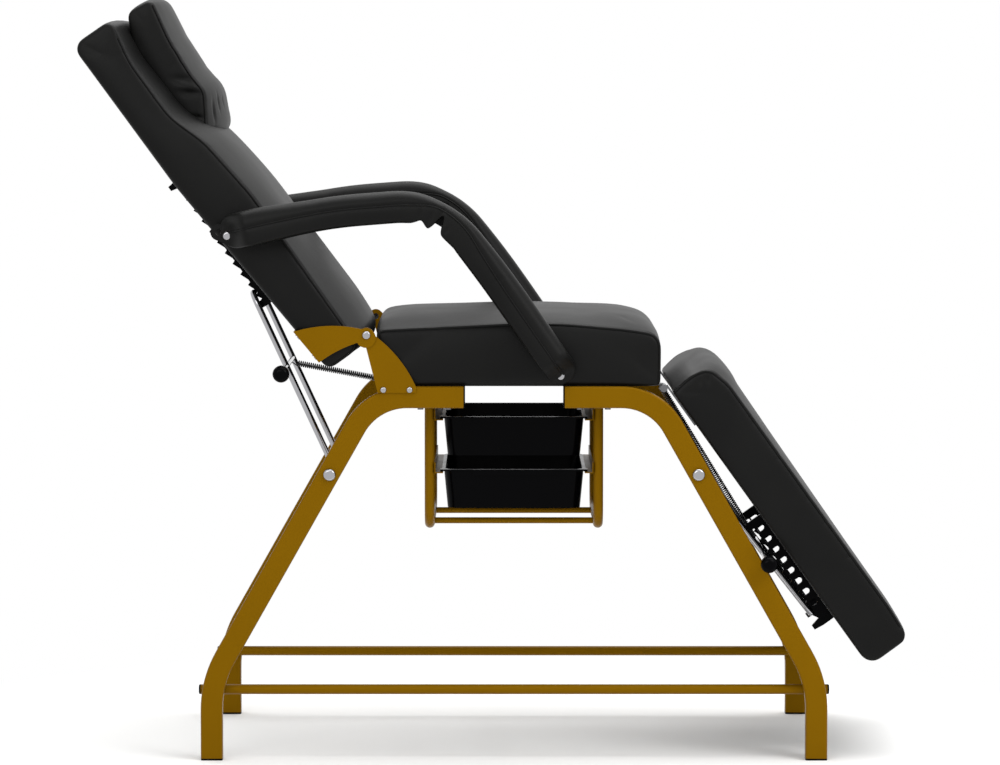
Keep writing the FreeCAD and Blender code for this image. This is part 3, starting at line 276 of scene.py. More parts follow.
def makeDustCloth():
    # black spun-bonded dust cloth over the boards: dry, its dimpled bond pattern drawn coarse enough to show
    cloth = {"colour": "#131313", "thread": "#1E1E1E", "roughness": 0.9, "specular": 0.12,
             "dimple": 3.0, "dimpleStrength": 0.3, "dimpleDepth": 0.3}
    material, tree, shader, place = newMaterial("blackDustCloth", cloth["roughness"],
                                                specular=cloth["specular"])
    dimple = addNode(tree, "ShaderNodeTexVoronoi", {
        "Vector": place, "Scale": perMillimetre(cloth["dimple"])})
    tone = addNode(tree, "ShaderNodeMix", {
        "Factor": dimple.outputs["Distance"], "A": linear(cloth["colour"]), "B": linear(cloth["thread"])},
        data_type="RGBA")
    tree.links.new(tone.outputs["Result"], shader.inputs["Base Color"])
    bump = addNode(tree, "ShaderNodeBump", {
        "Height": dimple.outputs["Distance"], "Strength": cloth["dimpleStrength"],
        "Distance": cloth["dimpleDepth"] * mm})
    tree.links.new(bump.outputs["Normal"], shader.inputs["Normal"])
    return material


# bright chrome on drawn rod gives sharp reflections, zinc on bolts and straps a pale soft shine
chromePlate = {"colour": "#A9A9AC", "roughness": 0.10, "spread": 0.03, "marks": 14}
zincPlate = {"colour": "#77787B", "roughness": 0.36, "spread": 0.08, "marks": 3}
leather = makeLeather()
finishes = {
    "gold_paint": makeGoldPaint(),
    "black_plastic": makePlastic(),
    "black_leather": leather,
    "chrome": makeMetal("chromePlatedSteel", chromePlate),
    "plywood": makeDustCloth(),
    "zinc_steel": makeMetal("zincPlatedSteel", zincPlate),
    "black_steel": makeBlackSteel(),
}
for nodeName, nodeObject in frame["nodes"].items():
    nodeObject.data.materials.clear()
    nodeObject.data.materials.append(finishes[slotOf[nodeName]])
print("materials:", len(finishes))


# padded pieces: an outline seen from the side, drawn across the chair, crowned, blown up and stitched

legLean = 54.3  # degrees below level at rest
backAngle = math.radians(joints["backrest_recline"]["range_deg"][1])
legAngle = math.radians(legLean)
backTip = Matrix.Translation(joints["backrest_recline"]["pos_m"]) @ Matrix.Rotation(backAngle, 4, "Y")
legTip = Matrix.Translation(joints["legrest_raise"]["pos_m"]) @ Matrix.Rotation(legAngle, 4, "Y")
seatTip = Matrix.Identity(4)


def flatBox(node, tip):
    # a node's box in the frame of its own pad, laid level
    turn = np.array(tip.inverted())
    coords = coordsOf(frame["nodes"][node]) @ turn[:3, :3].T + turn[:3, 3]
    return coords.min(0), coords.max(0)


arcShare = 0.48  # the most of a run's length that one rounded corner takes


def roundedRun(corners, step, closed):
    # straight runs joined by arcs, as points about one step apart; a corner is (x, z, radius)
    points = []
    count = len(corners)
    for place, (x, z, radius) in enumerate(corners):
        here = np.array((x, z))
        if not closed and place in (0, count - 1):
            points.append([here])
            continue
        back = np.array(corners[place - 1][:2]) - here
        ahead = np.array(corners[(place + 1) % count][:2]) - here
        backLength, aheadLength = np.linalg.norm(back), np.linalg.norm(ahead)
        back, ahead = back / backLength, ahead / aheadLength
        half = math.acos(np.clip(back @ ahead, -1, 1)) / 2
        radius = min(radius, arcShare * min(backLength, aheadLength) * math.tan(half))
        middle = (back + ahead) / np.linalg.norm(back + ahead)
        centre = here + middle * radius / math.sin(half)
        first = here + back * radius / math.tan(half) - centre
        turn = math.pi - 2 * half
        side = np.sign(first[0] * (-middle[1]) - first[1] * (-middle[0]))
        steps = max(2, int(math.ceil(turn * radius / step)))
        arc = []
        for k in range(steps + 1):
            a = side * turn * k / steps
            arc.append(centre + np.array((first[0] * math.cos(a) - first[1] * math.sin(a),
                                          first[0] * math.sin(a) + first[1] * math.cos(a))))
        points.append(arc)
    run = []
    for arc in points:
        if run:
            run += between(run[-1], arc[0], step)
        run += arc
    if closed:
        run += between(run[-1], points[0][0], step)
    return np.array(run)


def between(start, end, step):
    steps = int(np.linalg.norm(end - start) // step)
    return [start + (end - start) * k / (steps + 1) for k in range(1, steps + 1)]


def runNormals(run, closed=True):
    if closed:
        along = np.roll(run, -1, 0) - np.roll(run, 1, 0)
    else:
        along = np.gradient(run, axis=0)
    along /= np.linalg.norm(along, axis=1, keepdims=True)
    return np.stack((along[:, 1], -along[:, 0]), 1)


# how every pad is drawn: slopes are parts of a facing of 1, lengths are in mm
padMaking = {"sideShares": (0.14, 0.34, 0.56, 0.78, 1.0), "broadFace": 0.3, "middleReach": 0.45,
             "middleSpan": 4, "weld": 0.01, "crownPlaces": (0, 0.12, 0.3, 0.7, 0.88, 1), "crownPower": 1.5,
             "endPower": 2, "endFacing": -0.5, "seamFacing": -0.6, "restFacing": -0.8,
             "seamHold": (3, 9), "grooveWidth": 4.5}


def middleLine(run, normals, step):
    # for each point of an outline, the place on its middle line that it is drawn in to
    sides = []
    for way in (1, -1):
        part = run[normals[:, 1] * way > padMaking["broadFace"]]
        sides.append(part[np.argsort(part[:, 0])])
    low, high = run[:, 0].min(), run[:, 0].max()
    central = np.abs(run[:, 0] - (low + high) / 2) < padMaking["middleSpan"] * step
    reach = padMaking["middleReach"] * np.ptp(run[central][:, 1])
    x = np.clip(run[:, 0], low + reach, high - reach)
    x = low + np.round((x - low) / step) * step
    z = sum(np.interp(x, part[:, 0], part[:, 1]) for part in sides) / 2
    return np.stack((x, z), 1)


def joinRings(shell, rings):
    count = len(rings[0])
    for one, two in zip(rings, rings[1:]):
        for i in range(count):
            shell.faces.new((one[i], one[(i + 1) % count], two[(i + 1) % count], two[i]))


def shellPiece(name, shell):
    bmesh.ops.recalc_face_normals(shell, faces=shell.faces)
    mesh = bpy.data.meshes.new(name)
    shell.to_mesh(mesh)
    shell.free()
    return linkNew(name, mesh)


def padShell(name, run, crown, half, pad):
    # run goes round the pad anticlockwise; crown is how far each of its points bulges in mid width
    normals = runNormals(run)
    middle = middleLine(run, normals, pad["step"] * mm)
    columns = pad["columns"]
    shell = bmesh.new()
    rings = []
    for column in range(columns + 1):
        v = 2 * column / columns - 1
        bulge = (1 - abs(v) ** pad["fall"]) * crown
        rings.append([shell.verts.new((p[0] + n[0] * b, v * half, p[1] + n[1] * b))
                      for p, n, b in zip(run, normals, bulge)])
    for side in (-1, 1):
        for share in padMaking["sideShares"]:
            y = side * (half + pad["sidePuff"] * mm * math.sin(math.pi / 2 * share))
            ring = [shell.verts.new((p[0] + (m[0] - p[0]) * share, y, p[1] + (m[1] - p[1]) * share))
                    for p, m in zip(run, middle)]
            rings.append(ring) if side > 0 else rings.insert(0, ring)
    joinRings(shell, rings)
    bmesh.ops.remove_doubles(shell, verts=shell.verts, dist=padMaking["weld"] * mm)
    return shellPiece(name, shell)


def resampled(line, step):
    line = np.array(line)
    along = np.concatenate(([0], np.cumsum(np.linalg.norm(np.diff(line, axis=0), axis=1))))
    places = np.linspace(0, along[-1], max(2, int(along[-1] / step)))
    return np.stack([np.interp(places, along, line[:, k]) for k in range(line.shape[1])], 1)


# sewing: spacing, width and reach of the gathers in mm, and their depth as a share of the piece's own
sewing = {"seamStep": 2, "gatherSpacing": (14, 52), "gatherWidth": (2.2, 5.5), "gatherReach": (6, 19),
          "gatherDepth": (-0.35, 1.0), "pipingProud": 0.25, "pipingPasses": 3, "flatGive": 0.8,
          "creaseSpan": (0.04, 0.96), "creaseFade": 0.6}
seamStep = sewing["seamStep"] * mm


def puckerField(seamLength, seed, depth):
    # gathers of uneven width, length and spacing along one seam line
    rng = np.random.default_rng(seed)
    field, place = [], 0.0
    while place < seamLength:
        place += rng.uniform(*sewing["gatherSpacing"]) * mm
        field.append((place / seamStep, rng.uniform(*sewing["gatherWidth"]) * mm / seamStep,
                      rng.uniform(*sewing["gatherReach"]) * mm,
                      depth * rng.uniform(*sewing["gatherDepth"]) * mm))
    return field


def treeOf(points):
    tree = KDTree(len(points))
    for index, point in enumerate(points):
        tree.insert(point, index)
    tree.balance()
    return tree


def nearestTo(tree, coords):
    found = [tree.find(c) for c in coords]
    return np.array([f[2] for f in found]), np.array([f[1] for f in found])


coverCloth = {"frames": 20, "quality": 4, "mass": 0.4, "tension": 12, "compression": 8, "bending": 0.6,
              "leastHold": 0.01, "smoothing": 0.5, "smoothPasses": 2, "leastMove": 1e-12}


def inflate(obj, held, pressure, cap):
    # the cover swells between the places where it is held, and no point moves further than cap
    group = obj.vertex_groups.new(name="held")
    for index in np.flatnonzero(held > coverCloth["leastHold"]):
        group.add([int(index)], float(held[index]), "REPLACE")
    before = coordsOf(obj)
    cloth = obj.modifiers.new("cover", "CLOTH")
    cloth.settings.quality = coverCloth["quality"]
    cloth.settings.mass = coverCloth["mass"]
    cloth.settings.tension_stiffness = coverCloth["tension"]
    cloth.settings.compression_stiffness = coverCloth["compression"]
    cloth.settings.bending_stiffness = coverCloth["bending"]
    cloth.settings.vertex_group_mass = "held"
    cloth.settings.use_pressure = True
    cloth.settings.uniform_pressure_force = pressure
    cloth.settings.effector_weights.gravity = 0
    cloth.collision_settings.use_collision = False
    cloth.point_cache.frame_end = coverCloth["frames"]
    for number in range(1, coverCloth["frames"] + 1):
        scene.frame_set(number)
    evaluated = obj.evaluated_get(bpy.context.evaluated_depsgraph_get())
    after = readPoints(evaluated.data.vertices, "co")
    obj.modifiers.remove(cloth)
    scene.frame_set(1)
    obj.vertex_groups.clear()
    move = after - before
    far = np.linalg.norm(move, axis=1, keepdims=True) + coverCloth["leastMove"]
    setCoords(obj, before + move / far * cap * np.tanh(far / cap))
    print("  ", obj.name, "swelled by", round(float(far.max()) / mm, 1), "mm, kept under", round(cap / mm, 1))


def smoothCover(obj):
    applyModifier(obj, "SMOOTH", factor=coverCloth["smoothing"], iterations=coverCloth["smoothPasses"])
    applyModifier(obj, "SUBSURF", levels=1, render_levels=1)


def tube(name, lines, radius, sides=3):
    curve = bpy.data.curves.new(name, "CURVE")
    curve.dimensions = "3D"
    curve.bevel_depth = radius
    curve.bevel_resolution = sides
    curve.use_fill_caps = True
    for line in lines:
        spline = curve.splines.new("POLY")
        spline.points.add(len(line) - 1)
        for point, at in zip(spline.points, line):
            point.co = (*at, 1)
        spline.use_smooth = True
    obj = linkNew(name, curve)
    activate(obj)
    bpy.ops.object.convert(target="MESH")
    return bpy.context.view_layer.objects.active


def finishPiece(obj, body, material, tip=None):
    if tip is not None:
        obj.data.transform(tip)
    obj.data.materials.clear()
    obj.data.materials.append(material)
    activate(obj)
    bpy.ops.object.shade_smooth()
    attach(obj, body)


def pressLines(coords, normals, lines):
    # creases: each line presses a soft furrow, or with a negative depth raises a ridge
    moved = coords.copy()
    for start, end, depth, width in lines:
        a, b = np.array(start) * mm, np.array(end) * mm
        run = b - a
        share = np.clip(((coords - a) @ run) / (run @ run), 0, 1)
        away = np.linalg.norm(coords - (a + share[:, None] * run), axis=1)
        fade = np.sin(math.pi * np.clip(share, *sewing["creaseSpan"])) ** sewing["creaseFade"]
        moved -= normals * (depth * mm * fade * np.exp(-(away / (width * mm)) ** 2))[:, None]
    return moved


def pressedFlat(x, lowStop, highStop):
    # an end that meets the next pad is pressed flat against it
    give = sewing["flatGive"] * mm
    x = np.where(x > highStop, highStop + give * np.tanh((x - highStop) / give), x)
    return np.where(x < lowStop, lowStop - give * np.tanh((lowStop - x) / give), x)


def sewnOn(obj, line, radius):
    # a seam line laid on the finished cover, so that the piping sits half sunk in it all the way
    laid = []
    for point in line:
        at, facing = obj.closest_point_on_mesh(Vector(point))[1:3]
        laid.append(at + facing * radius * sewing["pipingProud"])
    laid = np.array(laid)
    for evening in range(sewing["pipingPasses"]):
        laid[1:-1] = (laid[:-2] + 2 * laid[1:-1] + laid[2:]) / 4
    return laid


def makePad(name, node, body, tip, pad):
    making = padMaking
    low, high = flatBox(node, tip)
    half = min(-low[1], high[1]) - pad["sideInset"] * mm
    corners = [(x * mm, z * mm, r * mm) for x, z, r in pad["corners"](low / mm, high / mm)]
    run = roundedRun(corners, pad["step"] * mm, True)
    normals = runNormals(run)
    up = np.clip(normals[:, 1], 0, 1)
    ends = np.where(normals[:, 1] > making["endFacing"], np.abs(normals[:, 0]), 0)
    endCrown = np.where(normals[:, 0] < 0, *pad["endCrown"])
    along = (run[:, 0] - run[:, 0].min()) / np.ptp(run[:, 0])
    fade = np.interp(along, making["crownPlaces"], pad["crownShares"])
    crown = (pad["crown"] * up ** making["crownPower"] * fade + endCrown * ends ** making["endPower"]) * mm
    obj = padShell(name, run, crown, half, pad)
    sewn = (normals[:, 1] > making["seamFacing"]) & (along > pad["seamFrom"]) & (along < pad["seamTo"])
    first = int(np.flatnonzero(sewn & ~np.roll(sewn, 1))[0])
    order = np.roll(np.arange(len(run)), -first)
    seam = run[order][sewn[order]]
    seamLines = [resampled([(p[0], side * half, p[1]) for p in seam], seamStep) for side in (-1, 1)]
    seamCount = len(seamLines[0])
    seamTree = treeOf(np.concatenate(seamLines))
    away = nearestTo(seamTree, coordsOf(obj))[0]
    facing = normalsOf(obj)
    still = (facing[:, 2] < making["restFacing"]) | (np.abs(facing[:, 0]) > pad["endHold"])
    holdFrom, holdTo = making["seamHold"]
    held = np.maximum(1 - smoothStep(holdFrom * mm, holdTo * mm, away), still)
    inflate(obj, held, pad["pressure"], pad["cap"] * mm)
    smoothCover(obj)
    coords, facing = coordsOf(obj), normalsOf(obj)
    away, nearest = nearestTo(seamTree, coords)
    sink = pad["groove"] * mm * np.exp(-(away / (making["grooveWidth"] * mm)) ** 2)
    for number in (0, 1):
        own = (nearest >= seamCount) == bool(number)
        field = puckerField(seamCount * seamStep, pad["seed"] + number, pad["pucker"])
        for place, width, reach, depth in field:
            gather = np.exp(-((nearest - number * seamCount - place) / width) ** 2 - (away / reach) ** 2)
            sink += own * depth * gather
    coords = coords - facing * sink[:, None]
    coords = pressLines(coords, facing, pad["creases"])
    lowStop, highStop = pad["stops"]
    coords[:, 0] = pressedFlat(coords[:, 0], low[0] - lowStop * mm, high[0] + highStop * mm)
    setCoords(obj, coords)
    seamLines = [sewnOn(obj, line, pad["piping"] * mm) for line in seamLines]
    finishPiece(obj, body, leather, tip)
    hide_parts(node)
    piping = tube(name + "Piping", seamLines, pad["piping"] * mm)
    finishPiece(piping, body, leather, tip)
    print(name, len(obj.data.polygons), "faces")


# each pad: outline corners (x, z, radius) in mm in its own level frame, then how it swells and is sewn

def seatCorners(low, high):
    x0, x1, z0 = low[0], high[0], low[2]
    return [(x0 + 1, z0, 6), (x1 - 1, z0, 6), (x1, z0 + 83, 24), (x1 - 60, z0 + 92, 60),
            (x1 - 150, z0 + 100, 300), (x0 + 230, z0 + 101.5, 400), (x0 + 1, z0 + 90, 10)]


seatPad = {"corners": seatCorners, "crown": 11.5, "endCrown": (0, 0), "fall": 4.5,
           "crownShares": (1.25, 1.4, 1.2, 1, 1.6, 0.8), "sideInset": 3.5, "sidePuff": 1.5,
           "step": 6, "columns": 80, "pressure": 4, "cap": 5, "endHold": 0.85, "stops": (1, 40),
           "fill": 0.85, "groove": 1.6, "pucker": 0.7, "seed": 11,
           "piping": 2.2, "seamFrom": -1, "seamTo": 2, "creases": []}
makePad("seatCushion", "seat_cushion", "frame", seatTip, seatPad)


def backCorners(low, high):
    x0, x1 = low[0], high[0]
    return [(x1 + 2, -83.5, 14), (x1 + 2, -21, 16), (-290, -16, 300), (-400, -27, 150), (-465, -48, 120),
            (-570, -48, 150), (x0, -33, 12), (x0 - 2, -108.5, 18), (-370, -108, 500)]


backPad = {"corners": backCorners, "crown": 27, "endCrown": (5, 0), "fall": 2.6,
           "crownShares": (0.35, 0.7, 0.95, 1.05, 1.25, 1.1), "sideInset": 3.5, "sidePuff": 1.5,
           "step": 6, "columns": 80, "pressure": 4, "cap": 5, "endHold": 0.85, "stops": (40, 3),
           "fill": 0.85, "groove": 1.6, "pucker": 0.7, "seed": 21,
           "piping": 2.0, "seamFrom": 0.05, "seamTo": 2, "creases": []}
makePad("backrestCushion", "backrest_cushion", "backrest", backTip, backPad)


def legCorners(low, high):
    x1 = high[0]
    return [(9.5, 8, 4), (x1 + 7, 7.5, 22), (x1 + 6, 86, 14), (x1 - 50, 90, 120), (53, 89, 40),
            (11, 78, 24), (4.5, 44, 60)]


legPad = {"corners": legCorners, "crown": 5, "endCrown": (0, 4), "fall": 4,
          "crownShares": (4.4, 1.9, 1.4, 0.6, 0.4, 0.3), "sideInset": 3.5, "sidePuff": 1.5,
          "step": 6, "columns": 80, "pressure": 4, "cap": 2, "endHold": 0.85, "stops": (40, 40),
          "fill": 0.85, "groove": 1.6, "pucker": 0.7, "seed": 31,
          "piping": 2.2, "seamFrom": -1, "seamTo": 0.965,
          "creases": [((18, -268, 70), (34, -268, 62), 1.6, 4), ((12, -268, 58), (26, -269, 50), 1.2, 3.5)]}
makePad("legrestCushion", "legrest_cushion", "legrest", legTip, legPad)


def pillowCorners(low, high):
    return [(-644, -12, 14), (-591, -39, 60), (-503, -45, 60), (-429, -30, 30), (-416, -24, 6),
            (-425, -14, 20), (-443, -2, 30), (-468, 14, 26), (-506, 12.5, 60), (-571, 18, 120),
            (-638, 32, 8)]


# the pillow's creases run from its sewn corner and its lower edge
pillow = {"corners": pillowCorners, "crown": 15, "endCrown": (5, 18), "fall": 2.4,
          "crownShares": (0.7, 0.85, 1, 1.2, 1.7, 2.2), "sideInset": 3, "sidePuff": 2.5,
          "step": 5, "columns": 60, "pressure": 4, "cap": 4, "endHold": 2, "stops": (60, 60),
          "fill": 0.7, "groove": 1.5, "pucker": 0.8, "seed": 41,
          "piping": 1.8, "seamFrom": 0.04, "seamTo": 2,
          "creases": [((-468, -167, 9), (-487, -170, -15), 3.5, 5),
                      ((-480, -167, 9), (-500, -170, -16), -2.2, 5),
                      ((-496, -167, 10), (-516, -170, -15), 3.2, 5),
                      ((-434, -167, -11), (-449, -170, -28), 2.6, 4),
                      ((-418, -128, -8), (-452, -132, 22), 2.6, 5),
                      ((-418, -92, -6), (-456, -98, 28), 2.4, 5),
                      ((-418, -50, -5), (-450, -60, 30), 2.0, 5)]}
makePad("headPillow", "headrest_cushion", "backrest", backTip, pillow)


# arms: a domed leather cover sewn along both sides, drawn over a steel strip and down to it at both bolts

# elbow and bow are (x, z) from the front bolt; upper, bend, post and rearLift are (underside, seam, top)
armCover = {"elbow": (-190.5, 275.2), "bow": (-374, 261), "elbowRadius": 130, "bowRadius": 700,
            "half": 23.5, "upper": (-23, 3, 25), "bend": (-24, 12, 22.5), "post": (-18, 5, 31),
            "postFrom": -60, "postTo": 70, "bendBefore": 30, "bendAfter": 100,
            "rearLift": (0, 2, 8), "liftFrom": 50, "liftTo": 160,
            "rearPast": 10, "frontPast": 15, "endRound": 26, "leastRound": 0.02,
            "thinFrom": 44, "thinTo": 8, "thin": 10, "step": 3.5,
            "underGathers": ((11, 7, 32), (-1, 5, -3), (-20, 9, 7)),  # place past the elbow, width, rise
            "seamEnd": 14, "seamHold": (2, 6), "endHold": (20, 50), "pressure": 4, "cap": 3, "fill": 0.8,
            "groove": 1.3, "grooveWidth": 3.5, "pucker": 0.6, "seed": 51, "piping": 1.4,
            "creases": ((-26, 20, 1.6), (-8, 25, 2.4), (10, 24, 2.0), (30, 18, 1.4)),  # place, reach, depth
            "creaseStart": 1, "creaseWidth": 3.2,
            "underWidth": 0.94, "sideFlare": 0.06, "domePower": 0.8, "sidePoints": 7, "domePoints": 18}


def armSection(half, under, seam, top):
    # one ring round the cover: flat underside, upright sides that flare to the seam, domed top
    sidePoints, domePoints = armCover["sidePoints"], armCover["domePoints"]
    underWidth, sideFlare, power = armCover["underWidth"], armCover["sideFlare"], armCover["domePower"]
    ring = []
    for k in range(sidePoints):
        ring.append((half * underWidth * (2 * k / (sidePoints - 1) - 1), under))
    for k in range(1, sidePoints):
        ring.append((half * (underWidth + sideFlare * k / sidePoints),
                     under + (seam - under) * k / sidePoints))
    for k in range(domePoints + 1):
        a = math.pi * k / domePoints
        ring.append((half * math.copysign(abs(math.cos(a)) ** power, math.cos(a)),
                     seam + (top - seam) * math.sin(a) ** power))
    for k in range(sidePoints - 1, 0, -1):
        ring.append((-half * (underWidth + sideFlare * k / sidePoints),
                     under + (seam - under) * k / sidePoints))
    return ring


def makeArm(name, node, body, joint, boltNode, side):
    cover = armCover
    half, thin, step = cover["half"] * mm, cover["thin"] * mm, cover["step"] * mm
    front = Vector(joints[joint]["pos_m"])
    low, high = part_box(boltNode)
    rear = (low + high) / 2
    inner = sum(abs(c.y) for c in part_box(node)) / 2 - half
    elbow = np.array((front.x + cover["elbow"][0] * mm, front.z + cover["elbow"][1] * mm))
    bow = np.array((front.x + cover["bow"][0] * mm, front.z + cover["bow"][1] * mm))
    rearEnd, frontEnd = np.array((rear.x, rear.z)), np.array((front.x, front.z))
    rearEnd += (rearEnd - bow) / np.linalg.norm(rearEnd - bow) * cover["rearPast"] * mm
    frontEnd += (frontEnd - elbow) / np.linalg.norm(frontEnd - elbow) * cover["frontPast"] * mm
    run = roundedRun([(*rearEnd, 0), (*bow, cover["bowRadius"] * mm), (*elbow, cover["elbowRadius"] * mm),
                      (*frontEnd, 0)], step, False)
    run = resampled(run, step)
    normals = -runNormals(run, False)
    fromRear = np.concatenate(([0], np.cumsum(np.linalg.norm(np.diff(run, axis=0), axis=1))))
    fromEnd = np.minimum(fromRear, fromRear[-1] - fromRear)
    elbowPlace = int(np.argmin(np.linalg.norm(run - elbow, axis=1)))
    fromElbow = fromRear - fromRear[elbowPlace]
    rounding = 1 - (1 - np.clip(fromEnd / (cover["endRound"] * mm), 0, 1)) ** 2
    rounding = np.sqrt(np.clip(rounding, cover["leastRound"], 1))
    thinning = smoothStep(cover["thinTo"] * mm, cover["thinFrom"] * mm, fromEnd)
    widths = thin + (2 * half - thin) * thinning
    # heights of the underside, the seam and the top, from the upper arm through the bend to the post
    post = smoothStep(cover["postFrom"] * mm, cover["postTo"] * mm, fromElbow)
    profile = np.outer(1 - post, cover["upper"]) + np.outer(post, cover["post"])
    lift = 1 - smoothStep(cover["liftFrom"] * mm, cover["liftTo"] * mm, fromRear)
    profile += np.outer(lift, cover["rearLift"])
    bendWidth = np.where(fromElbow < 0, cover["bendBefore"] * mm, cover["bendAfter"] * mm)
    bend = np.exp(-(fromElbow / bendWidth) ** 2)[:, None]
    profile = profile * (1 - bend) + np.array(cover["bend"]) * bend
    # the underside is gathered into a notch at the elbow, with a tab of spare leather beside it
    for place, width, rise in cover["underGathers"]:
        profile[:, 0] += rise * np.exp(-((fromElbow - place * mm) / (width * mm)) ** 2)
    shell = bmesh.new()
    rings = []
    for place in range(len(run)):
        under, seam, top = profile[place] * mm
        centre, reach = (under + top) / 2, rounding[place]
        ring = []
        for across, out in armSection(half, under, seam, top):
            at = run[place] + normals[place] * (centre + (out - centre) * reach)
            y = inner + (across + half) / (2 * half) * widths[place]
            ring.append(shell.verts.new((at[0], side * y, at[1])))
        rings.append(ring)
    count = len(rings[0])
    joinRings(shell, rings)
    shell.faces.new(rings[0])
    shell.faces.new(rings[-1])
    obj = shellPiece(name, shell)
    seamLines = []
    kept = np.flatnonzero(fromEnd > cover["seamEnd"] * mm)
    for outer in (0, 1):
        line = [(run[k][0] + normals[k][0] * profile[k][1] * mm, side * (inner + outer * widths[k]),
                 run[k][1] + normals[k][1] * profile[k][1] * mm) for k in kept]
        seamLines.append(resampled(line, seamStep))
    seamCount = len(seamLines[0])
    seamTree = treeOf(np.concatenate(seamLines))
    away = nearestTo(seamTree, coordsOf(obj))[0]
    heldTo, freeFrom = cover["endHold"]
    ends = np.repeat(1 - smoothStep(heldTo * mm, freeFrom * mm, fromEnd), count)
    holdFrom, holdTo = cover["seamHold"]
    held = np.maximum(1 - smoothStep(holdFrom * mm, holdTo * mm, away), ends)
    inflate(obj, held, cover["pressure"], cover["cap"] * mm)
    smoothCover(obj)
    coords, facing = coordsOf(obj), normalsOf(obj)
    away, nearest = nearestTo(seamTree, coords)
    sink = cover["groove"] * mm * np.exp(-(away / (cover["grooveWidth"] * mm)) ** 2)
    local = nearest % seamCount
    for place, width, reach, depth in puckerField(seamCount * seamStep, cover["seed"], cover["pucker"]):
        sink += depth * np.exp(-((local - place) / width) ** 2 - (away / reach) ** 2)
    coords = coords - facing * sink[:, None]
    creases = []
    for turn, reach, depth in cover["creases"]:
        place = elbowPlace + int(turn / cover["step"])
        outward = side * (inner + widths[place]) / mm
        under = profile[place][0]
        start = (run[place] + normals[place] * (under - cover["creaseStart"]) * mm) / mm
        end = (run[place] + normals[place] * (under + reach) * mm) / mm
        creases.append(((start[0], outward, start[1]), (end[0], outward, end[1]), depth, cover["creaseWidth"]))
    coords = pressLines(coords, facing, creases)
    setCoords(obj, coords)
    seamLines = [sewnOn(obj, line, cover["piping"] * mm) for line in seamLines]
    finishPiece(obj, body, leather)
    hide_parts(node)
    piping = tube(name + "Seam", seamLines, cover["piping"] * mm)
    finishPiece(piping, body, leather)
    print(name, len(obj.data.polygons), "faces")


makeArm("armCoverNear", "arm_pad_near", "arm_near", "arm_near_swing", "arm_rear_bolts", -1)
makeArm("armCoverFar", "arm_pad_far", "arm_far", "arm_far_swing", "arm_rear_bolts", 1)


# springs: one coil from the frame to each bail

# oiled spring wire: dark, with a thin bright line along each turn
springWire = {"colour": "#3A3A3C", "roughness": 0.34, "spread": 0.08, "marks": 2}
springSteel = makeMetal("oiledSpringSteel", springWire)
spring = {"radius": 4.4, "wire": 1.0, "pitch": 3.4, "points": 14, "lead": 9, "sampleEvery": 7}


def makeSpring(name, node, bail):
    # the CAD spring gives the line, and the coil starts at its end on the frame
    coords = coordsOf(frame["nodes"][node])
    centre = coords.mean(0)
    axis = np.linalg.svd(coords[::spring["sampleEvery"]] - centre, full_matrices=False)[2][0]
    reach = (coords - centre) @ axis
    ends = [centre + axis * reach.min(), centre + axis * reach.max()]
    handle = sum(np.array(corner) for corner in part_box(bail + "_handle")) / 2
    ends.sort(key=lambda end: -math.hypot(end[0] - handle[0], end[2] - handle[2]))
    start, end = ends
    along = end - start
    length = np.linalg.norm(along)
    along /= length
    sideWay = np.array((0.0, 1.0, 0.0))
    cross = np.cross(along, sideWay)
    lead = spring["lead"] * mm
    turns = (length - 2 * lead) / (spring["pitch"] * mm)
    line = [start]
    for k in range(int(turns * spring["points"]) + 1):
        a = 2 * math.pi * k / spring["points"]
        at = start + along * (lead + spring["pitch"] * mm * k / spring["points"])
        line.append(at + (sideWay * math.cos(a) + cross * math.sin(a)) * spring["radius"] * mm)
    line.append(end)
    obj = tube(name, [line], spring["wire"] * mm, sides=1)
    obj.data.materials.clear()
    obj.data.materials.append(springSteel)
    bpy.ops.object.shade_smooth()
    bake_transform(obj)
    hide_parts(node)
    print(name, round(turns), "turns")


makeSpring("rearSpringCoil", "rear_spring", "rear_bail")
makeSpring("frontSpringCoil", "front_spring", "front_bail")


# studio: pale floor, soft light and the camera; sizes and places in metres

studio = {"floor": "#F6F6F5", "floorSize": 60, "floorRoughness": 0.9, "floorSpecular": 0.05, "world": 0.7,
          "fadeFrom": 0.55, "fadeTo": 1.1}


def seenRays(tree):
    # 1 where the camera sees a surface straight or in a reflection, 0 where it only lights
    path = addNode(tree, "ShaderNodeLightPath")
    straight = addNode(tree, "ShaderNodeMath", {
        0: path.outputs["Is Camera Ray"], 1: path.outputs["Is Glossy Ray"]}, operation="MAXIMUM")
    seen = addNode(tree, "ShaderNodeMath", {
        0: straight.outputs["Value"], 1: path.outputs["Is Transmission Ray"]}, operation="MAXIMUM")
    return seen.outputs["Value"]


# the matt floor keeps the shadow near the chair and fades to plain white away from it
deselectAll()
bpy.ops.mesh.primitive_plane_add(size=studio["floorSize"], location=(0, 0, 0))
floor = bpy.context.object
floor.name = "studioFloor"
floorMaterial, floorTree, floorShader, floorPlace = newMaterial(
    "paleFloor", studio["floorRoughness"], specular=studio["floorSpecular"])
floorShader.inputs["Base Color"].default_value = linear(studio["floor"])
distance = addNode(floorTree, "ShaderNodeVectorMath", {0: floorPlace}, operation="LENGTH")
fading = addNode(floorTree, "ShaderNodeMapRange", {
    "Value": distance.outputs["Value"], "From Min": studio["fadeFrom"], "From Max": studio["fadeTo"]},
    interpolation_type="SMOOTHSTEP")
share = addNode(floorTree, "ShaderNodeMath", {0: seenRays(floorTree), 1: fading.outputs["Result"]},
                operation="MULTIPLY")
white = addNode(floorTree, "ShaderNodeEmission", {"Color": (1, 1, 1, 1), "Strength": 1.0})
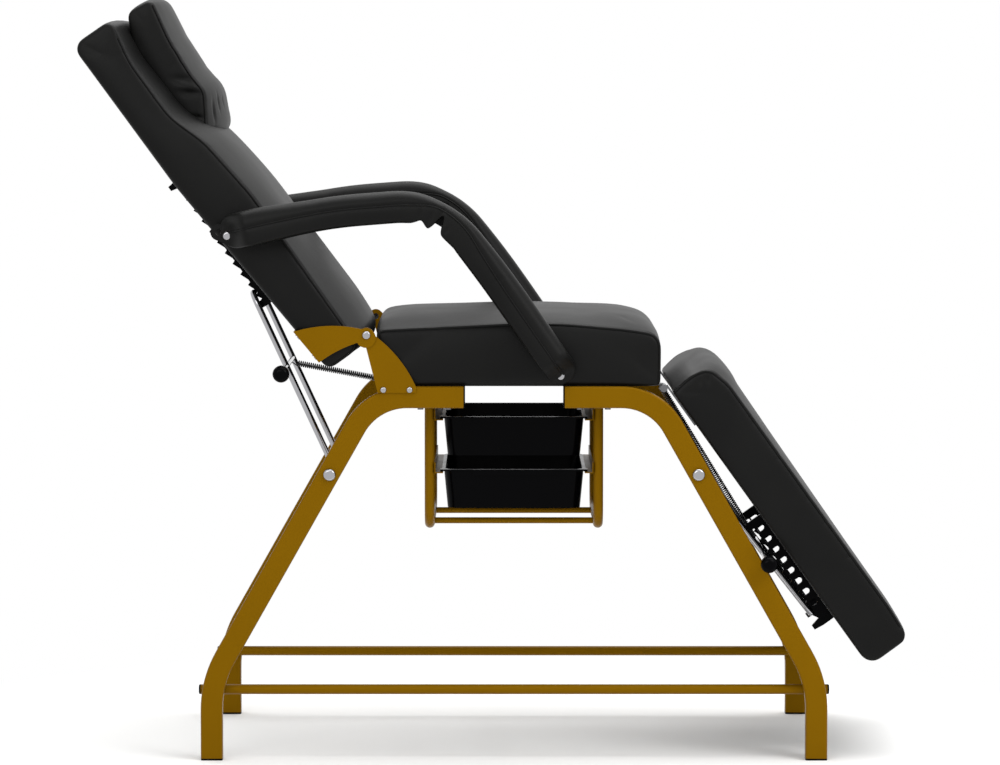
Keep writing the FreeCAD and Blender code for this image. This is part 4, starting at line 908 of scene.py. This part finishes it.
mixed = addNode(floorTree, "ShaderNodeMixShader", {
    0: share.outputs["Value"], 1: floorShader.outputs["BSDF"], 2: white.outputs["Emission"]})
floorTree.links.new(mixed.outputs["Shader"], floorTree.nodes["Material Output"].inputs["Surface"])
floor.data.materials.append(floorMaterial)

world = bpy.data.worlds.new("studio")
scene.world = world
world.use_nodes = True
worldTree = world.node_tree
background = worldTree.nodes["Background"]
strength = addNode(worldTree, "ShaderNodeMapRange", {
    "Value": seenRays(worldTree), "To Min": studio["world"], "To Max": 1.0})
background.inputs["Color"].default_value = (1, 1, 1, 1)
worldTree.links.new(strength.outputs["Result"], background.inputs["Strength"])

softboxes = {
    "topSoftbox": {"size": (5.0, 4.0), "at": (0.4, 0.4, 4.2), "aim": (0, 0, 0.6), "watts": 200},
    "frontSoftbox": {"size": (3.0, 2.0), "at": (-1.6, -4.6, 2.6), "aim": (0, 0, 0.3), "watts": 50},
    "rightSoftbox": {"size": (1.6, 1.6), "at": (2.2, -2.2, 2.6), "aim": (0, 0, 0.8), "watts": 40},
}
for lampName, box in softboxes.items():
    lamp = bpy.data.lights.new(lampName, "AREA")
    lamp.shape = "RECTANGLE"
    lamp.size, lamp.size_y = box["size"]
    lamp.energy = box["watts"]
    lampObject = linkNew(lampName, lamp)
    lampObject.location = box["at"]
    lampObject.rotation_euler = (Vector(box["aim"]) - Vector(box["at"])).to_track_quat("-Z", "Y").to_euler()

# the camera's eye and aim are measured in mm from the middle of the frame, between the two cross tubes
crossTubes = ("rear_cross_tube", "front_cross_tube")
frameMiddle = sum(corner.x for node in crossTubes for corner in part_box(node)) / 4 / mm
photo = {"lens": 162.36, "sensor": 36, "farthest": 200,
         "eye": (frameMiddle - 22.1, -7459.4, 1114.9), "aim": (frameMiddle - 22.6, -272, 609.0)}
lensData = bpy.data.cameras.new("photoCamera")
lensData.lens = photo["lens"]
lensData.sensor_width = photo["sensor"]
lensData.clip_end = photo["farthest"]
camera = linkNew("photoCamera", lensData)
camera.location = Vector(photo["eye"]) * mm
camera.rotation_euler = (Vector(photo["aim"]) - Vector(photo["eye"])).to_track_quat("-Z", "Y").to_euler()
scene.camera = camera
print("studio ready")
